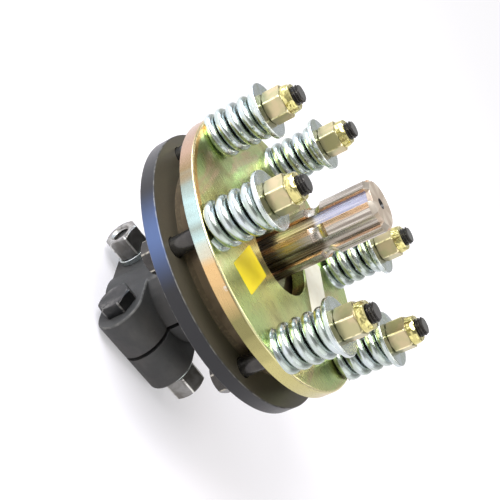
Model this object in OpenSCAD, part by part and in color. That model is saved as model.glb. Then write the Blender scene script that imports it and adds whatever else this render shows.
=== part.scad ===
// Friction torque limiter for a six-spline power take-off shaft.
// A clamp hub with a flange drives a splined stub through a stack of friction
// discs. Six bolts with coil springs press the stack together, and the stub
// slips when the torque is too high. The part stands on the end of its hub,
// with the main axis along +Z.

/* [Clamp hub] */
// Outside diameter of the flange
flange_d = 186; // [165:1:220]
// Thickness of the flange
flange_t = 10; // [8:0.5:16]
// Chamfer on both rims of the flange
flange_chamfer = 0.8; // [0.4:0.1:2]
// Length of the hub behind the flange
hub_length = 76.5; // [74:0.5:110]
// Outside diameter of the neck
neck_d = 60; // [58:1:72]
// Fillet between the neck and the flange
neck_fillet = 6; // [3:0.5:9]
// Radius of the rounded ends of the clamp block
block_end_r = 17; // [16:0.5:20]
// Depth of the clamp block along its bolts
block_depth = 57; // [54:1:64]
// Distance from the main axis to the middle of each round end
block_end_offset = 31; // [30:0.5:36]
// Distance from the main axis to each clamp bolt
clamp_offset = 28; // [27.5:0.5:32]
// Turn of the clamp bolts about the main axis
clamp_angle = 19; // [0:1:59]
// Width of the clamp slit
slit_w = 2.5; // [2:0.5:5]
// Neck left whole between the slit and the flange
slit_stop = 8; // [5:1:16]

/* [Spline] */
// Teeth of the spline
spline_teeth = 6; // [4:1:7]
// Major diameter of the shaft's spline
spline_major_d = 34.8; // [33:0.1:36.4]
// Minor diameter of the shaft's spline
spline_minor_d = 29.4; // [27:0.1:31]
// Width of one tooth
tooth_w = 8.6; // [7:0.1:10]
// Turn of the teeth about the main axis
spline_angle = 19; // [0:1:59]
// Clearance of the hub's spline on every face of the shaft's
spline_clearance = 0.15; // [0.05:0.05:0.3]

/* [Splined shaft] */
// Reach of the shaft beyond the pressure plate
shaft_reach = 71; // [62:1:100]
// Chamfer at the free end of the shaft
shaft_chamfer = 2.8; // [1:0.2:4]
// Distance of the locking groove from the free end
groove_from_end = 38; // [30:1:46]
// Radius of the locking groove's section
groove_r = 6.8; // [5:0.2:8]
// Diameter at the bottom of the locking groove
groove_bottom_d = 29.4; // [27:0.1:31]
// Diameter of the shoulder that carries the drive plate
shoulder_d = 44; // [40:0.5:48]
// Height of the shoulder above the drive plate
shoulder_lip = 3; // [2:0.5:3.4]
// Leg of the weld between the shoulder and the drive plate
weld_leg = 3; // [2:0.5:4]
// Diameter of the pilot journal
journal_d = 34; // [30:0.5:36]
// Chamfer at the inner end of the journal
journal_chamfer = 1; // [0.5:0.1:2]
// Diameter of the centre hole in the shaft's end
centre_hole_d = 7; // [4:0.5:9]
// Depth of the centre hole
centre_hole_depth = 8; // [5:0.5:12]

/* [Pilot bush] */
// Wall of the bush
bush_wall = 4; // [3:0.5:5]
// Length of the bush
bush_length = 16; // [12:1:22]
// Running clearance of the journal in the bush
journal_clearance = 0.05; // [0.02:0.01:0.1]
// Clearance of a seated piece in its seat
seat_clearance = 0.02; // [0.01:0.01:0.1]
// Depth of the relief below the bottoms of the tooth spaces
relief_depth = 1; // [0.5:0.1:1.5]
// Length of the relief between the spline and the bush
relief_length = 8; // [5:1:12]

/* [Friction stack] */
// Gap between the friction stack and the bolts
stack_gap = 1.5; // [1:0.5:8]
// Inside diameter of the friction discs
disc_bore_d = 90; // [70:1:100]
// Thickness of one friction disc
disc_t = 3.5; // [2.5:0.5:5]
// Thickness of the drive plate
drive_t = 11; // [8:0.5:14]

/* [Pressure plate] */
// Outside diameter of the pressure plate
plate_d = 186; // [165:1:220]
// Thickness of the pressure plate
plate_t = 9.5; // [7:0.5:14]
// Chamfer on the front rim of the pressure plate
plate_chamfer = 1.6; // [0.6:0.2:3]
// Chamfer on the back rim of the pressure plate
plate_back_chamfer = 0.6; // [0.2:0.2:1.2]
// Diameter of the window round the shaft
window_d = 60; // [56:1:80]
// Chamfer on the window's edge
window_chamfer = 0.6; // [0.2:0.2:1.6]

/* [Springs] */
// Number of sprung bolts
bolt_count = 6; // [3:1:6]
// Distance from the rim of the plates to the middle of a bolt
bolt_edge = 13; // [12:0.5:18]
// Outside diameter of a spring
spring_d = 30; // [27:0.5:32]
// Wire diameter of a spring
wire_d = 7; // [5:0.5:7.5]
// Length of a spring as fitted
spring_length = 34.5; // [32:0.5:60]
// Gap between the working coils
coil_gap = 1.1; // [0.6:0.1:3]
// Gap between the closed coils at each end
closed_gap = 0.15; // [0.1:0.05:0.3]
// Turn from one spring's wire end to the next
spring_phase = 195; // [0:1:359]
// Turn of the first spring's wire
spring_start = 345; // [0:1:359]
// Outside diameter of a spring washer
washer_d = 36; // [32:0.5:40]
// Thickness of a spring washer
washer_t = 3; // [2:0.5:5]

/* [Spring bolts and nuts] */
// Diameter of a spring bolt
bolt_d = 12; // [10:0.5:12.4]
// Width across flats of the bolt heads and nuts
hex_af = 19; // [17:0.5:22]
// Height of a bolt head
bolt_head_h = 7.5; // [6:0.5:12]
// Height of the hexagon of a lock nut
nut_h = 12.5; // [8:0.5:14]
// Height of the crimped collar on a lock nut
collar_h = 5.5; // [2:0.5:7]
// Step of the collar inside the flats of its hexagon
collar_inset = 0.3; // [0.1:0.1:0.8]
// Diameter at the top of the crimped collar
collar_top_d = 17; // [14:0.5:18]
// Depth of the crimps in the collar
crimp_depth = 0.8; // [0.2:0.1:0.9]
// Bolt left showing beyond the nut
bolt_tip = 4.5; // [2:0.5:12]
// Chamfer at the end of a bolt
bolt_chamfer = 1; // [0.5:0.1:2]
// Clearance round a bolt in the flange and the plate
bolt_clearance = 0.5; // [0.2:0.1:1]
// Clearance between a bolt and the nut or washer on it
thread_clearance = 0.05; // [0.02:0.01:0.2]

/* [Clamp bolts] */
// Diameter of a clamp bolt
clamp_bolt_d = 14; // [12:0.5:14]
// Width across flats of the clamp bolts and nuts
clamp_af = 22; // [19:0.5:24]
// Height of a clamp bolt's head
clamp_head_h = 8; // [7:0.5:12]
// Height of a clamp nut
clamp_nut_h = 15; // [11:0.5:18]
// Outside diameter of a clamp washer
clamp_washer_d = 25; // [24:0.5:30]
// Thickness of a clamp washer
clamp_washer_t = 4; // [2:0.5:5]
// Depth of the bolt's end inside the nut
clamp_end_sunk = 3; // [1:0.5:5]

/* [Labels] */
// Width and height of the yellow label
yellow_label_size = [21, 32]; // [10:1:40]
// Middle of the yellow label on the plate
yellow_label_at = [-7.5, -55]; // [-70:0.5:70]
// Length of the white label
white_label_length = 52; // [20:1:56]
// Distance from the white label to the circle that the springs leave free
white_label_clear = 10; // [9:0.5:20]
// Direction of the white label from the main axis
white_label_angle = 41; // [20:1:60]
// Gap between the window and the white label
white_label_gap = 0.5; // [0.5:0.5:4]
// Shift of the white label along its length
white_label_shift = -9; // [-10:0.5:4]
// Thickness of a label
label_t = 0.2; // [0.1:0.1:0.5]
// Corner radius of a label
label_corner_r = 0.8; // [0.2:0.1:3]

/* [Hidden] */
$fn = 96;

// Overshoot of a cut past the faces that it opens
cut = 1;
// Sides of the wire and steps along one turn of a coil
wire_sides = 8;
turn_steps = 18;
// Share of the wire that is ground off at the tip of a coil
ground_share = 0.75;
// Rise of the cone that chamfers a hexagon's corners
hex_chamfer_angle = 30;
// Crimps round the collar of a lock nut
crimp_count = 3;
// Facets round the corner of a label
corner_facets = 24;

// Levels along the main axis
flange_front_z = hub_length + flange_t;
drive_back_z = flange_front_z + disc_t;
drive_front_z = drive_back_z + drive_t;
plate_back_z = drive_front_z + disc_t;
plate_front_z = plate_back_z + plate_t;
washer_z = plate_front_z + spring_length;
nut_z = washer_z + washer_t;
nut_top_z = nut_z + nut_h + collar_h;
bolt_end_z = nut_top_z + bolt_tip;
shaft_end_z = plate_front_z + shaft_reach;
groove_z = shaft_end_z - groove_from_end;
bush_z = flange_front_z - bush_length;
spline_end_z = bush_z - relief_length;
slit_end_z = hub_length - slit_stop;
clamp_bolt_z = block_end_r;

// Circle of the bolts and the stack inside it
bolt_circle_d = min(flange_d, plate_d) - 2 * bolt_edge;
stack_d = bolt_circle_d - bolt_d - 2 * stack_gap;

// Radii that two pieces share
bolt_hole_r = bolt_d / 2 + bolt_clearance;
threaded_r = bolt_d / 2 + thread_clearance;
clamp_hole_r = clamp_bolt_d / 2 + bolt_clearance;
clamp_threaded_r = clamp_bolt_d / 2 + thread_clearance;
bush_bore_r = journal_d / 2 + journal_clearance;
bush_r = bush_bore_r + bush_wall;
collar_r = hex_af / 2 - collar_inset;

// Coil of a spring, measured along the middle of its wire
coil_r = (spring_d - wire_d) / 2;
closed_pitch = wire_d + closed_gap;
working_pitch = wire_d + coil_gap;
tip_drop = (ground_share - 0.5) * wire_d;
coil_rise = spring_length + 2 * tip_drop;
working_turns = (coil_rise - 2 * closed_pitch) / working_pitch;
total_turns = working_turns + 2;

// Height of the wire's middle after a number of turns
function coil_height(turns) =
    turns < 1 ? turns * closed_pitch
    : turns < total_turns - 1 ? closed_pitch + (turns - 1) * working_pitch
    : coil_rise - (total_turns - turns) * closed_pitch;

// One ring of points round the wire
function wire_ring(turns) = [
    for (side = [0:wire_sides - 1])
        let(
            angle = 360 * turns,
            section = 360 * (side + 0.5) / wire_sides,
            radius = coil_r + wire_d / 2 * cos(section)
        )
        [
            radius * cos(angle),
            radius * sin(angle),
            coil_height(turns) - tip_drop + wire_d / 2 * sin(section)
        ]
];

// Copies of a piece at every sprung bolt
module at_bolts() {
    for (i = [0:bolt_count - 1])
        rotate(i * 360 / bolt_count)
            translate([bolt_circle_d / 2, 0, 0])
                children();
}

// Frame of a clamp bolt: its Z axis runs from the head to the nut
module at_clamp_bolts() {
    for (turn = [0, 180])
        rotate(clamp_angle + turn)
            translate([0, -clamp_offset, clamp_bolt_z])
                rotate([0, 90, 0])
                    children();
}

// Hexagonal prism with its corners chamfered at the chosen ends
module hex_prism(af, height, chamfer_low, chamfer_high) {
    corner_r = af / 2 / cos(30);
    drop = (corner_r - af / 2) * tan(hex_chamfer_angle);
    low = chamfer_low ? af / 2 : corner_r;
    high = chamfer_high ? af / 2 : corner_r;
    intersection() {
        cylinder(r = corner_r, h = height, $fn = 6);
        rotate_extrude()
            polygon([
                [0, 0],
                [low, 0],
                [corner_r, chamfer_low ? drop : 0],
                [corner_r, height - (chamfer_high ? drop : 0)],
                [high, height],
                [0, height]
            ]);
    }
}

// Flat ring with square edges
module ring(outer_r, inner_r, height) {
    difference() {
        cylinder(r = outer_r, h = height);
        translate([0, 0, -cut])
            cylinder(r = inner_r, h = height + 2 * cut);
    }
}

// Outline of a spline: a core with straight-sided teeth on it
module spline_outline(clearance) {
    major_r = spline_major_d / 2 + clearance;
    width = tooth_w + 2 * clearance;
    circle(r = spline_minor_d / 2 + clearance);
    intersection() {
        circle(r = major_r);
        for (i = [0:spline_teeth - 1])
            rotate(spline_angle + i * 360 / spline_teeth)
                translate([0, -width / 2])
                    square([major_r, width]);
    }
}

// Flange and neck, turned as one
module hub_turning() {
    neck_r = neck_d / 2;
    flange_r = flange_d / 2;
    rotate_extrude() {
        difference() {
            polygon([
                [0, 0],
                [neck_r, 0],
                [neck_r, hub_length - neck_fillet],
                [neck_r + neck_fillet, hub_length],
                [flange_r - flange_chamfer, hub_length],
                [flange_r, hub_length + flange_chamfer],
                [flange_r, flange_front_z - flange_chamfer],
                [flange_r - flange_chamfer, flange_front_z],
                [0, flange_front_z]
            ]);
            translate([neck_r + neck_fillet, hub_length - neck_fillet])
                circle(r = neck_fillet);
        }
    }
}

// Clamp block with a round end beyond each clamp bolt
module clamp_block() {
    rotate(clamp_angle)
        translate([-block_depth / 2, 0, clamp_bolt_z])
            rotate([90, 0, 90])
                linear_extrude(block_depth) {
                    translate([-block_end_offset, -block_end_r])
                        square([2 * block_end_offset, 2 * block_end_r]);
                    for (side = [-1, 1])
                        translate([side * block_end_offset, 0])
                            circle(r = block_end_r);
                }
}

module clamp_hub() {
    slit_reach = block_end_offset + block_end_r + cut;
    color([0.09, 0.09, 0.1])
        difference() {
            union() {
                hub_turning();
                clamp_block();
            }
            translate([0, 0, -cut])
                linear_extrude(spline_end_z + 2 * cut)
                    spline_outline(spline_clearance);
            translate([0, 0, spline_end_z])
                cylinder(r = spline_major_d / 2 + relief_depth, h = relief_length + cut);
            translate([0, 0, bush_z])
                cylinder(r = bush_r + seat_clearance, h = bush_length + cut);
            rotate(clamp_angle)
                translate([-slit_w / 2, -slit_reach, -cut])
                    cube([slit_w, 2 * slit_reach, slit_end_z + cut]);
            at_clamp_bolts()
                translate([0, 0, -block_depth / 2 - cut])
                    cylinder(r = clamp_hole_r, h = block_depth + 2 * cut);
            at_bolts()
                translate([0, 0, hub_length - cut])
                    cylinder(r = bolt_hole_r, h = flange_t + 2 * cut);
        }
}

module pilot_bush() {
    color([0.62, 0.45, 0.22])
        translate([0, 0, bush_z])
            ring(bush_r, bush_bore_r, bush_length);
}

module friction_disc(level) {
    color([0.27, 0.22, 0.17])
        translate([0, 0, level])
            ring(stack_d / 2, disc_bore_d / 2, disc_t);
}

module drive_plate() {
    color([0.36, 0.29, 0.22])
        translate([0, 0, drive_back_z])
            ring(stack_d / 2, shoulder_d / 2 + seat_clearance, drive_t);
}

// Shoulder, weld and pilot journal of the shaft
module shaft_root() {
    shoulder_r = shoulder_d / 2;
    rotate_extrude()
        polygon([
            [0, bush_z],
            [journal_d / 2 - journal_chamfer, bush_z],
            [journal_d / 2, bush_z + journal_chamfer],
            [journal_d / 2, drive_back_z],
            [shoulder_r, drive_back_z],
            [shoulder_r, drive_front_z],
            [shoulder_r + weld_leg, drive_front_z],
            [shoulder_r, drive_front_z + weld_leg],
            [shoulder_r, drive_front_z + shoulder_lip],
            [0, drive_front_z + shoulder_lip]
        ]);
}

module splined_shaft() {
    major_r = spline_major_d / 2;
    color([0.6, 0.58, 0.55])
        difference() {
            union() {
                shaft_root();
                intersection() {
                    translate([0, 0, drive_front_z])
                        linear_extrude(shaft_end_z - drive_front_z)
                            spline_outline(0);
                    rotate_extrude()
                        polygon([
                            [0, drive_front_z],
                            [major_r + cut, drive_front_z],
                            [major_r + cut, shaft_end_z - shaft_chamfer - cut],
                            [major_r - shaft_chamfer, shaft_end_z],
                            [0, shaft_end_z]
                        ]);
                }
            }
            translate([0, 0, groove_z])
                rotate_extrude()
                    translate([groove_bottom_d / 2 + groove_r, 0])
                        circle(r = groove_r);
            translate([0, 0, shaft_end_z - centre_hole_depth])
                cylinder(r1 = 0, r2 = centre_hole_d / 2, h = centre_hole_depth);
        }
}

module pressure_plate() {
    plate_r = plate_d / 2;
    window_r = window_d / 2;
    color([0.72, 0.66, 0.42])
        difference() {
            rotate_extrude()
                polygon([
                    [window_r, plate_back_z],
                    [plate_r - plate_back_chamfer, plate_back_z],
                    [plate_r, plate_back_z + plate_back_chamfer],
                    [plate_r, plate_front_z - plate_chamfer],
                    [plate_r - plate_chamfer, plate_front_z],
                    [window_r + window_chamfer, plate_front_z],
                    [window_r, plate_front_z - window_chamfer]
                ]);
            at_bolts()
                translate([0, 0, plate_back_z - cut])
                    cylinder(r = bolt_hole_r, h = plate_t + 2 * cut);
        }
}

// Right-hand coil swept round its axis, with both ends ground flat
module coil() {
    rings = ceil(total_turns * turn_steps);
    points = [
        for (i = [0:rings])
            each wire_ring(total_turns * i / rings)
    ];
    walls = [
        for (i = [0:rings - 1], side = [0:wire_sides - 1])
            let(next = (side + 1) % wire_sides)
            [
                i * wire_sides + side,
                (i + 1) * wire_sides + side,
                (i + 1) * wire_sides + next,
                i * wire_sides + next
            ]
    ];
    first_cap = [for (side = [0:wire_sides - 1]) side];
    last_cap = [for (side = [wire_sides - 1:-1:0]) rings * wire_sides + side];
    intersection() {
        polyhedron(points, concat(walls, [first_cap], [last_cap]), convexity = 10);
        translate([-spring_d, -spring_d, 0])
            cube([2 * spring_d, 2 * spring_d, spring_length]);
    }
}

module spring(index) {
    color([0.82, 0.84, 0.85])
        rotate(index * 360 / bolt_count)
            translate([bolt_circle_d / 2, 0, plate_front_z])
                rotate(spring_start + index * spring_phase)
                    coil();
}

module spring_washers() {
    color([0.78, 0.79, 0.76])
        at_bolts()
            translate([0, 0, washer_z])
                ring(washer_d / 2, threaded_r, washer_t);
}

module spring_bolts() {
    color([0.1, 0.1, 0.11])
        at_bolts() {
            translate([0, 0, hub_length - bolt_head_h])
                hex_prism(hex_af, bolt_head_h, true, false);
            rotate_extrude()
                polygon([
                    [0, hub_length - cut],
                    [bolt_d / 2, hub_length - cut],
                    [bolt_d / 2, bolt_end_z - bolt_chamfer],
                    [bolt_d / 2 - bolt_chamfer, bolt_end_z],
                    [0, bolt_end_z]
                ]);
        }
}

module lock_nut() {
    crimp_r = collar_h / 2;
    difference() {
        union() {
            hex_prism(hex_af, nut_h, true, true);
            translate([0, 0, nut_h])
                cylinder(r1 = collar_r, r2 = collar_top_d / 2, h = collar_h);
        }
        translate([0, 0, -cut])
            cylinder(r = threaded_r, h = nut_h + collar_h + 2 * cut);
        for (i = [0:crimp_count - 1])
            rotate(i * 360 / crimp_count)
                translate([collar_top_d / 2 + crimp_r - crimp_depth, 0, nut_h + collar_h])
                    rotate([90, 0, 0])
                        cylinder(r = crimp_r, h = collar_top_d, center = true);
    }
}

module spring_nuts() {
    color([0.62, 0.57, 0.36])
        at_bolts()
            translate([0, 0, nut_z])
                lock_nut();
}

module clamp_bolts() {
    shank = block_depth + clamp_washer_t + clamp_nut_h - clamp_end_sunk;
    color([0.13, 0.13, 0.14])
        at_clamp_bolts()
            translate([0, 0, -block_depth / 2]) {
                translate([0, 0, -clamp_head_h])
                    hex_prism(clamp_af, clamp_head_h, true, false);
                translate([0, 0, -cut])
                    cylinder(r = clamp_bolt_d / 2, h = shank + cut);
            }
}

module clamp_washers() {
    color([0.8, 0.81, 0.8])
        at_clamp_bolts()
            translate([0, 0, block_depth / 2])
                ring(clamp_washer_d / 2, clamp_threaded_r, clamp_washer_t);
}

module clamp_nuts() {
    color([0.42, 0.42, 0.4])
        at_clamp_bolts()
            translate([0, 0, block_depth / 2 + clamp_washer_t])
                difference() {
                    hex_prism(clamp_af, clamp_nut_h, true, true);
                    translate([0, 0, -cut])
                        cylinder(r = clamp_threaded_r, h = clamp_nut_h + 2 * cut);
                }
}

// Thin sheet with round corners, about the middle of its lower face
module sticker(size) {
    inner = [size[0] - 2 * label_corner_r, size[1] - 2 * label_corner_r];
    linear_extrude(label_t) {
        square([size[0], inner[1]], center = true);
        square([inner[0], size[1]], center = true);
        for (x = [-1, 1], y = [-1, 1])
            translate([x * inner[0] / 2, y * inner[1] / 2])
                circle(r = label_corner_r, $fn = corner_facets);
    }
}

module yellow_label() {
    color([0.95, 0.83, 0.08])
        translate([yellow_label_at[0], yellow_label_at[1], plate_front_z])
            sticker(yellow_label_size);
}

module white_label() {
    near_edge = window_d / 2 + window_chamfer + white_label_gap;
    far_edge = (bolt_circle_d - spring_d) / 2 - white_label_clear;
    width = far_edge - near_edge;
    color([0.95, 0.93, 0.86])
        rotate(white_label_angle)
            translate([near_edge + width / 2, white_label_shift, plate_front_z])
                sticker([width, white_label_length]);
}

clamp_hub();
pilot_bush();
friction_disc(flange_front_z);  // rear_friction_disc
drive_plate();
friction_disc(drive_front_z);  // front_friction_disc
splined_shaft();
pressure_plate();
spring(0);  // spring_1
spring(1);  // spring_2
spring(2);  // spring_3
spring(3);  // spring_4
spring(4);  // spring_5
spring(5);  // spring_6
spring_washers();
spring_bolts();
spring_nuts();
clamp_bolts();
clamp_washers();
clamp_nuts();
yellow_label();
white_label();
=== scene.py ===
"""Looks of a friction torque limiter: round-edged pieces, their finishes and a plain studio.

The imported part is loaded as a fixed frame. Each class is one sub-assembly. It rebuilds the pieces that
show, with round edges, threads and coils, in the place that the frame gives, and dresses them.
"""

import logging
import math
from collections.abc import Iterator, Sequence
from contextlib import contextmanager
from dataclasses import dataclass
from enum import Enum

import bmesh
import bpy
import numpy as np
from mathutils import Matrix, Vector


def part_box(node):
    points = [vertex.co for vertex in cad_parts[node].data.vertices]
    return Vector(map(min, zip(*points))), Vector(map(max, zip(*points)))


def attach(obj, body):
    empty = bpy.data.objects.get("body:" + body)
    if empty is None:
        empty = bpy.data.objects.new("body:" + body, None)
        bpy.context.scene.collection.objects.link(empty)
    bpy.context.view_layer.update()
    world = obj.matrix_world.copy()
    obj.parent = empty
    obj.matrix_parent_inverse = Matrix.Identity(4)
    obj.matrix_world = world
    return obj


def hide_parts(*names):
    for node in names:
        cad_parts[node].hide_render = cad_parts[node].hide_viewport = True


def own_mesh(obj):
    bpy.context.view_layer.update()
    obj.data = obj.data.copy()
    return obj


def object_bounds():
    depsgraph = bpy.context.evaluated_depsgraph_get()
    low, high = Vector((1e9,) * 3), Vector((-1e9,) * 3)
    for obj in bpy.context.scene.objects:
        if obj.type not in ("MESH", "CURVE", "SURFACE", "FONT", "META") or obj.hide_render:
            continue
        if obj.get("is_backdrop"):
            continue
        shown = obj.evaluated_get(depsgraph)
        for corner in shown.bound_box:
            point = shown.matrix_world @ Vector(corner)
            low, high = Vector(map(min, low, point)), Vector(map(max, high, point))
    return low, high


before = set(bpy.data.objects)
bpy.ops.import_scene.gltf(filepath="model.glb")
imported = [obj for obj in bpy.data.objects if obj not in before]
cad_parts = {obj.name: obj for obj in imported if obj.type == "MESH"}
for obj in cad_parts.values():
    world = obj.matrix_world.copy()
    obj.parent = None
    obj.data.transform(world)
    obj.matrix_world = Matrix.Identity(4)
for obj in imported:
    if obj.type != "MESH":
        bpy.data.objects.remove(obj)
CAD_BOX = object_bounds()

log = logging.getLogger("torque_limiter")

MM = 0.001
TURNED_FACETS = 144
DRILL_FACETS = 64
SHARP_ANGLE = math.radians(32)
MERGE_DISTANCE = 0.0005 * MM
OVERCUT = 1 * MM
HEX_SIDES = 6
HEX_CHAMFER = math.radians(30)
SPLINE_TEETH = 6
SPLINE_EASE = 0.35 * MM

Colour = tuple[float, float, float, float]
Socket = bpy.types.NodeSocket
Profile = list[tuple[float, float, float]]
# Where a field of a finish starts to show, and where it shows in full.
Reach = tuple[float, float]


class Body(Enum):
    """Bodies of the part that a piece can ride on."""

    HUB = "hub"
    SHAFT = "shaft"
    PLATE = "plate"


class Grain(Enum):
    """Ways that a pattern on a surface runs, as its stretches along X, Y and Z."""

    EVEN = (1.0, 1.0, 1.0)
    AXIAL = (1.0, 1.0, 0.03)
    ROLLED = (0.05, 1.0, 1.0)
    PULLED = (2.4, 0.6, 1.0)
    UPRIGHT = (1.0, 1.0, 0.2)


def srgb(red: int, green: int, blue: int) -> Colour:
    """Turn a screen colour into the linear colour that a shader takes.

    Args:
        red: red from 0 to 255.
        green: green from 0 to 255.
        blue: blue from 0 to 255.

    Returns:
        The linear colour, opaque.
    """
    linear = []
    for value in (red, green, blue):
        share = value / 255
        linear.append(share / 12.92 if share <= 0.04045 else ((share + 0.055) / 1.055) ** 2.4)
    return (linear[0], linear[1], linear[2], 1.0)


class Graph:
    """Short way to add nodes to a tree and wire them."""

    def __init__(self, tree: bpy.types.NodeTree) -> None:
        """Start from an empty tree.

        Args:
            tree: the tree that the nodes go into.
        """
        tree.nodes.clear()
        self.tree = tree

    def add(self, kind: str, inputs: dict | None = None, **settings) -> bpy.types.Node:
        """Add one node.

        Args:
            kind: type of the node.
            inputs: values, or output sockets to link, by the input's name or number.
            settings: the node's own properties.

        Returns:
            The new node.
        """
        made = self.tree.nodes.new(kind)
        for name, value in settings.items():
            setattr(made, name, value)
        for key, value in (inputs or {}).items():
            if isinstance(value, Socket):
                self.tree.links.new(value, made.inputs[key])
            else:
                made.inputs[key].default_value = value
        return made

    def math(self, operation: str, first: Socket | float, second: Socket | float = 0.0) -> Socket:
        """Give the result of one sum on two values."""
        return self.add("ShaderNodeMath", {0: first, 1: second}, operation=operation).outputs[0]

    def times(self, first: Socket | float, *others: Socket | float) -> Socket | float:
        """Give the product of some values.

        Args:
            first: the first value.
            others: the values that it is multiplied by.

        Returns:
            The product.
        """
        for other in others:
            first = self.math("MULTIPLY", first, other)
        return first

    def rest(self, share: Socket) -> Socket:
        """Give what a share leaves of one."""
        return self.math("SUBTRACT", 1.0, share)

    def vector(self, operation: str, first: Socket, second: Socket | Sequence[float]) -> Socket:
        """Give the number that comes from one sum on two vectors."""
        inputs = {0: first, 1: second}
        return self.add("ShaderNodeVectorMath", inputs, operation=operation).outputs["Value"]

    def step(self, value: Socket, low: float, high: float) -> Socket:
        """Give 0 at low and 1 at high, with a smooth rise between."""
        inputs = {"Value": value, "From Min": low, "From Max": high}
        return self.add("ShaderNodeMapRange", inputs, interpolation_type="SMOOTHSTEP").outputs[0]

    def past(self, value: Socket, level: float, reach: Reach) -> Socket:
        """Give a step whose reach is counted from a level."""
        return self.step(value, level + reach[0], level + reach[1])

    def band(self, value: Socket, rise: Reach, fall: Reach) -> Socket:
        """Give 1 inside a band of values and 0 outside, with a smooth side at each end."""
        return self.times(self.step(value, *rise), self.step(value, *fall))

    def between(self, value: Socket, low: float, high: float) -> Socket:
        """Give a number that goes from low to high as the value goes from 0 to 1."""
        return self.add("ShaderNodeMapRange", {"Value": value, "To Min": low, "To Max": high}).outputs[0]

    def mix(self, factor: Socket | float, first: Socket | Colour, second: Socket | Colour) -> Socket:
        """Give a colour between two colours."""
        return self.add("ShaderNodeMix", {0: factor, 6: first, 7: second}, data_type="RGBA").outputs[2]

    def coats(
        self, colour: Socket | Colour, *layers: tuple[Socket, float, Socket | Colour],
    ) -> Socket | Colour:
        """Lay coats of colour over each other.

        Args:
            colour: the lowest colour.
            layers: field, strength and colour of each coat, from the lowest up.

        Returns:
            The colour that shows.
        """
        for field, strength, tint in layers:
            colour = self.mix(self.times(field, strength), colour, tint)
        return colour

    def stretch(self, place: Socket, scale: tuple[float, float, float]) -> Socket:
        """Give coordinates stretched by a scale along each axis."""
        return self.add("ShaderNodeMapping", {"Vector": place, "Scale": scale}).outputs[0]

    def noise(
        self, place: Socket, scale: float, detail: float = 3.0, warp: float = 0.0, grain: Grain = Grain.EVEN,
    ) -> Socket:
        """Give smooth noise from 0 to 1.

        Args:
            place: coordinates on the piece, in metres.
            scale: waves per metre.
            detail: layers of finer noise.
            warp: how far the waves are pulled about.
            grain: way that the pattern runs.

        Returns:
            The noise.
        """
        drawn = place if grain is Grain.EVEN else self.stretch(place, grain.value)
        inputs = {"Vector": drawn, "Scale": scale, "Detail": detail, "Distortion": warp}
        return self.add("ShaderNodeTexNoise", inputs).outputs[0]

    def patches(self, place: Socket, low: float, high: float, **pattern: float | Grain) -> Socket:
        """Give ragged patches that show as noise of a pattern rises from low to high."""
        return self.step(self.noise(place, **pattern), low, high)

    def bump(self, height: Socket, depth: float) -> Socket:
        """Give a normal raised by a height of 0 to 1 times a depth in metres."""
        return self.add("ShaderNodeBump", {"Height": height, "Distance": depth}).outputs[0]

    def radius(self, place: Socket) -> Socket:
        """Give the distance from the main axis."""
        return self.vector("LENGTH", self.stretch(place, (1.0, 1.0, 0.0)), (0.0, 0.0, 0.0))

    def height(self, place: Socket) -> Socket:
        """Give the level along the main axis."""
        return self.add("ShaderNodeSeparateXYZ", {0: place}).outputs["Z"]

    def bearing(self, place: Socket, middle: float) -> Socket:
        """Give the share of a turn about the main axis.

        Args:
            place: coordinates on the piece.
            middle: bearing at which the share is one half.

        Returns:
            The share, from 0 to 1.
        """
        spun = self.add("ShaderNodeMapping", {"Vector": place, "Rotation": (0.0, 0.0, -middle)}).outputs[0]
        parts = self.add("ShaderNodeSeparateXYZ", {0: spun}).outputs
        angle = self.math("ARCTAN2", parts["Y"], parts["X"])
        return self.math("ADD", self.math("DIVIDE", angle, 2 * math.pi), 0.5)

    def near(self, place: Socket, middle: float, reach: Reach) -> Socket:
        """Give one close to a bearing and nothing away from it, with the reach as shares of a turn."""
        off = self.math("ABSOLUTE", self.math("SUBTRACT", self.bearing(place, middle), 0.5))
        return self.step(off, *reach)

    def polar(self, radius: Socket, angle: Socket, level: Socket | float = 0.0) -> Socket:
        """Give the point at a radius and an angle about the main axis.

        Args:
            radius: distance from the axis.
            angle: angle about the axis.
            level: level along the axis.

        Returns:
            The point.
        """
        across = self.times(radius, self.math("COSINE", angle))
        deep = self.times(radius, self.math("SINE", angle))
        return self.add("ShaderNodeCombineXYZ", {"X": across, "Y": deep, "Z": level}).outputs[0]

    def ramp(self, value: Socket, stops: Sequence[tuple[float, Colour]]) -> Socket:
        """Give a colour from a row of stops.

        Args:
            value: place along the row, from 0 to 1.
            stops: value and colour of each stop, in rising order.

        Returns:
            The colour.
        """
        made = self.add("ShaderNodeValToRGB", {0: value})
        row = made.color_ramp.elements
        while len(row) < len(stops):
            row.new(1.0)
        for element, (spot, colour) in zip(row, stops):
            element.position = spot
            element.color = colour
        return made.outputs[0]

    def wear(self) -> Socket:
        """Give the wear that a piece's own mesh carries."""
        return self.add("ShaderNodeAttribute", attribute_name="wear").outputs["Fac"]

    def rubbed(self, place: Socket) -> Socket:
        """Give the wear of a piece, broken into fine ragged patches."""
        return self.times(self.wear(), self.patches(place, 0.3, 0.55, scale=420.0))


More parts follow.
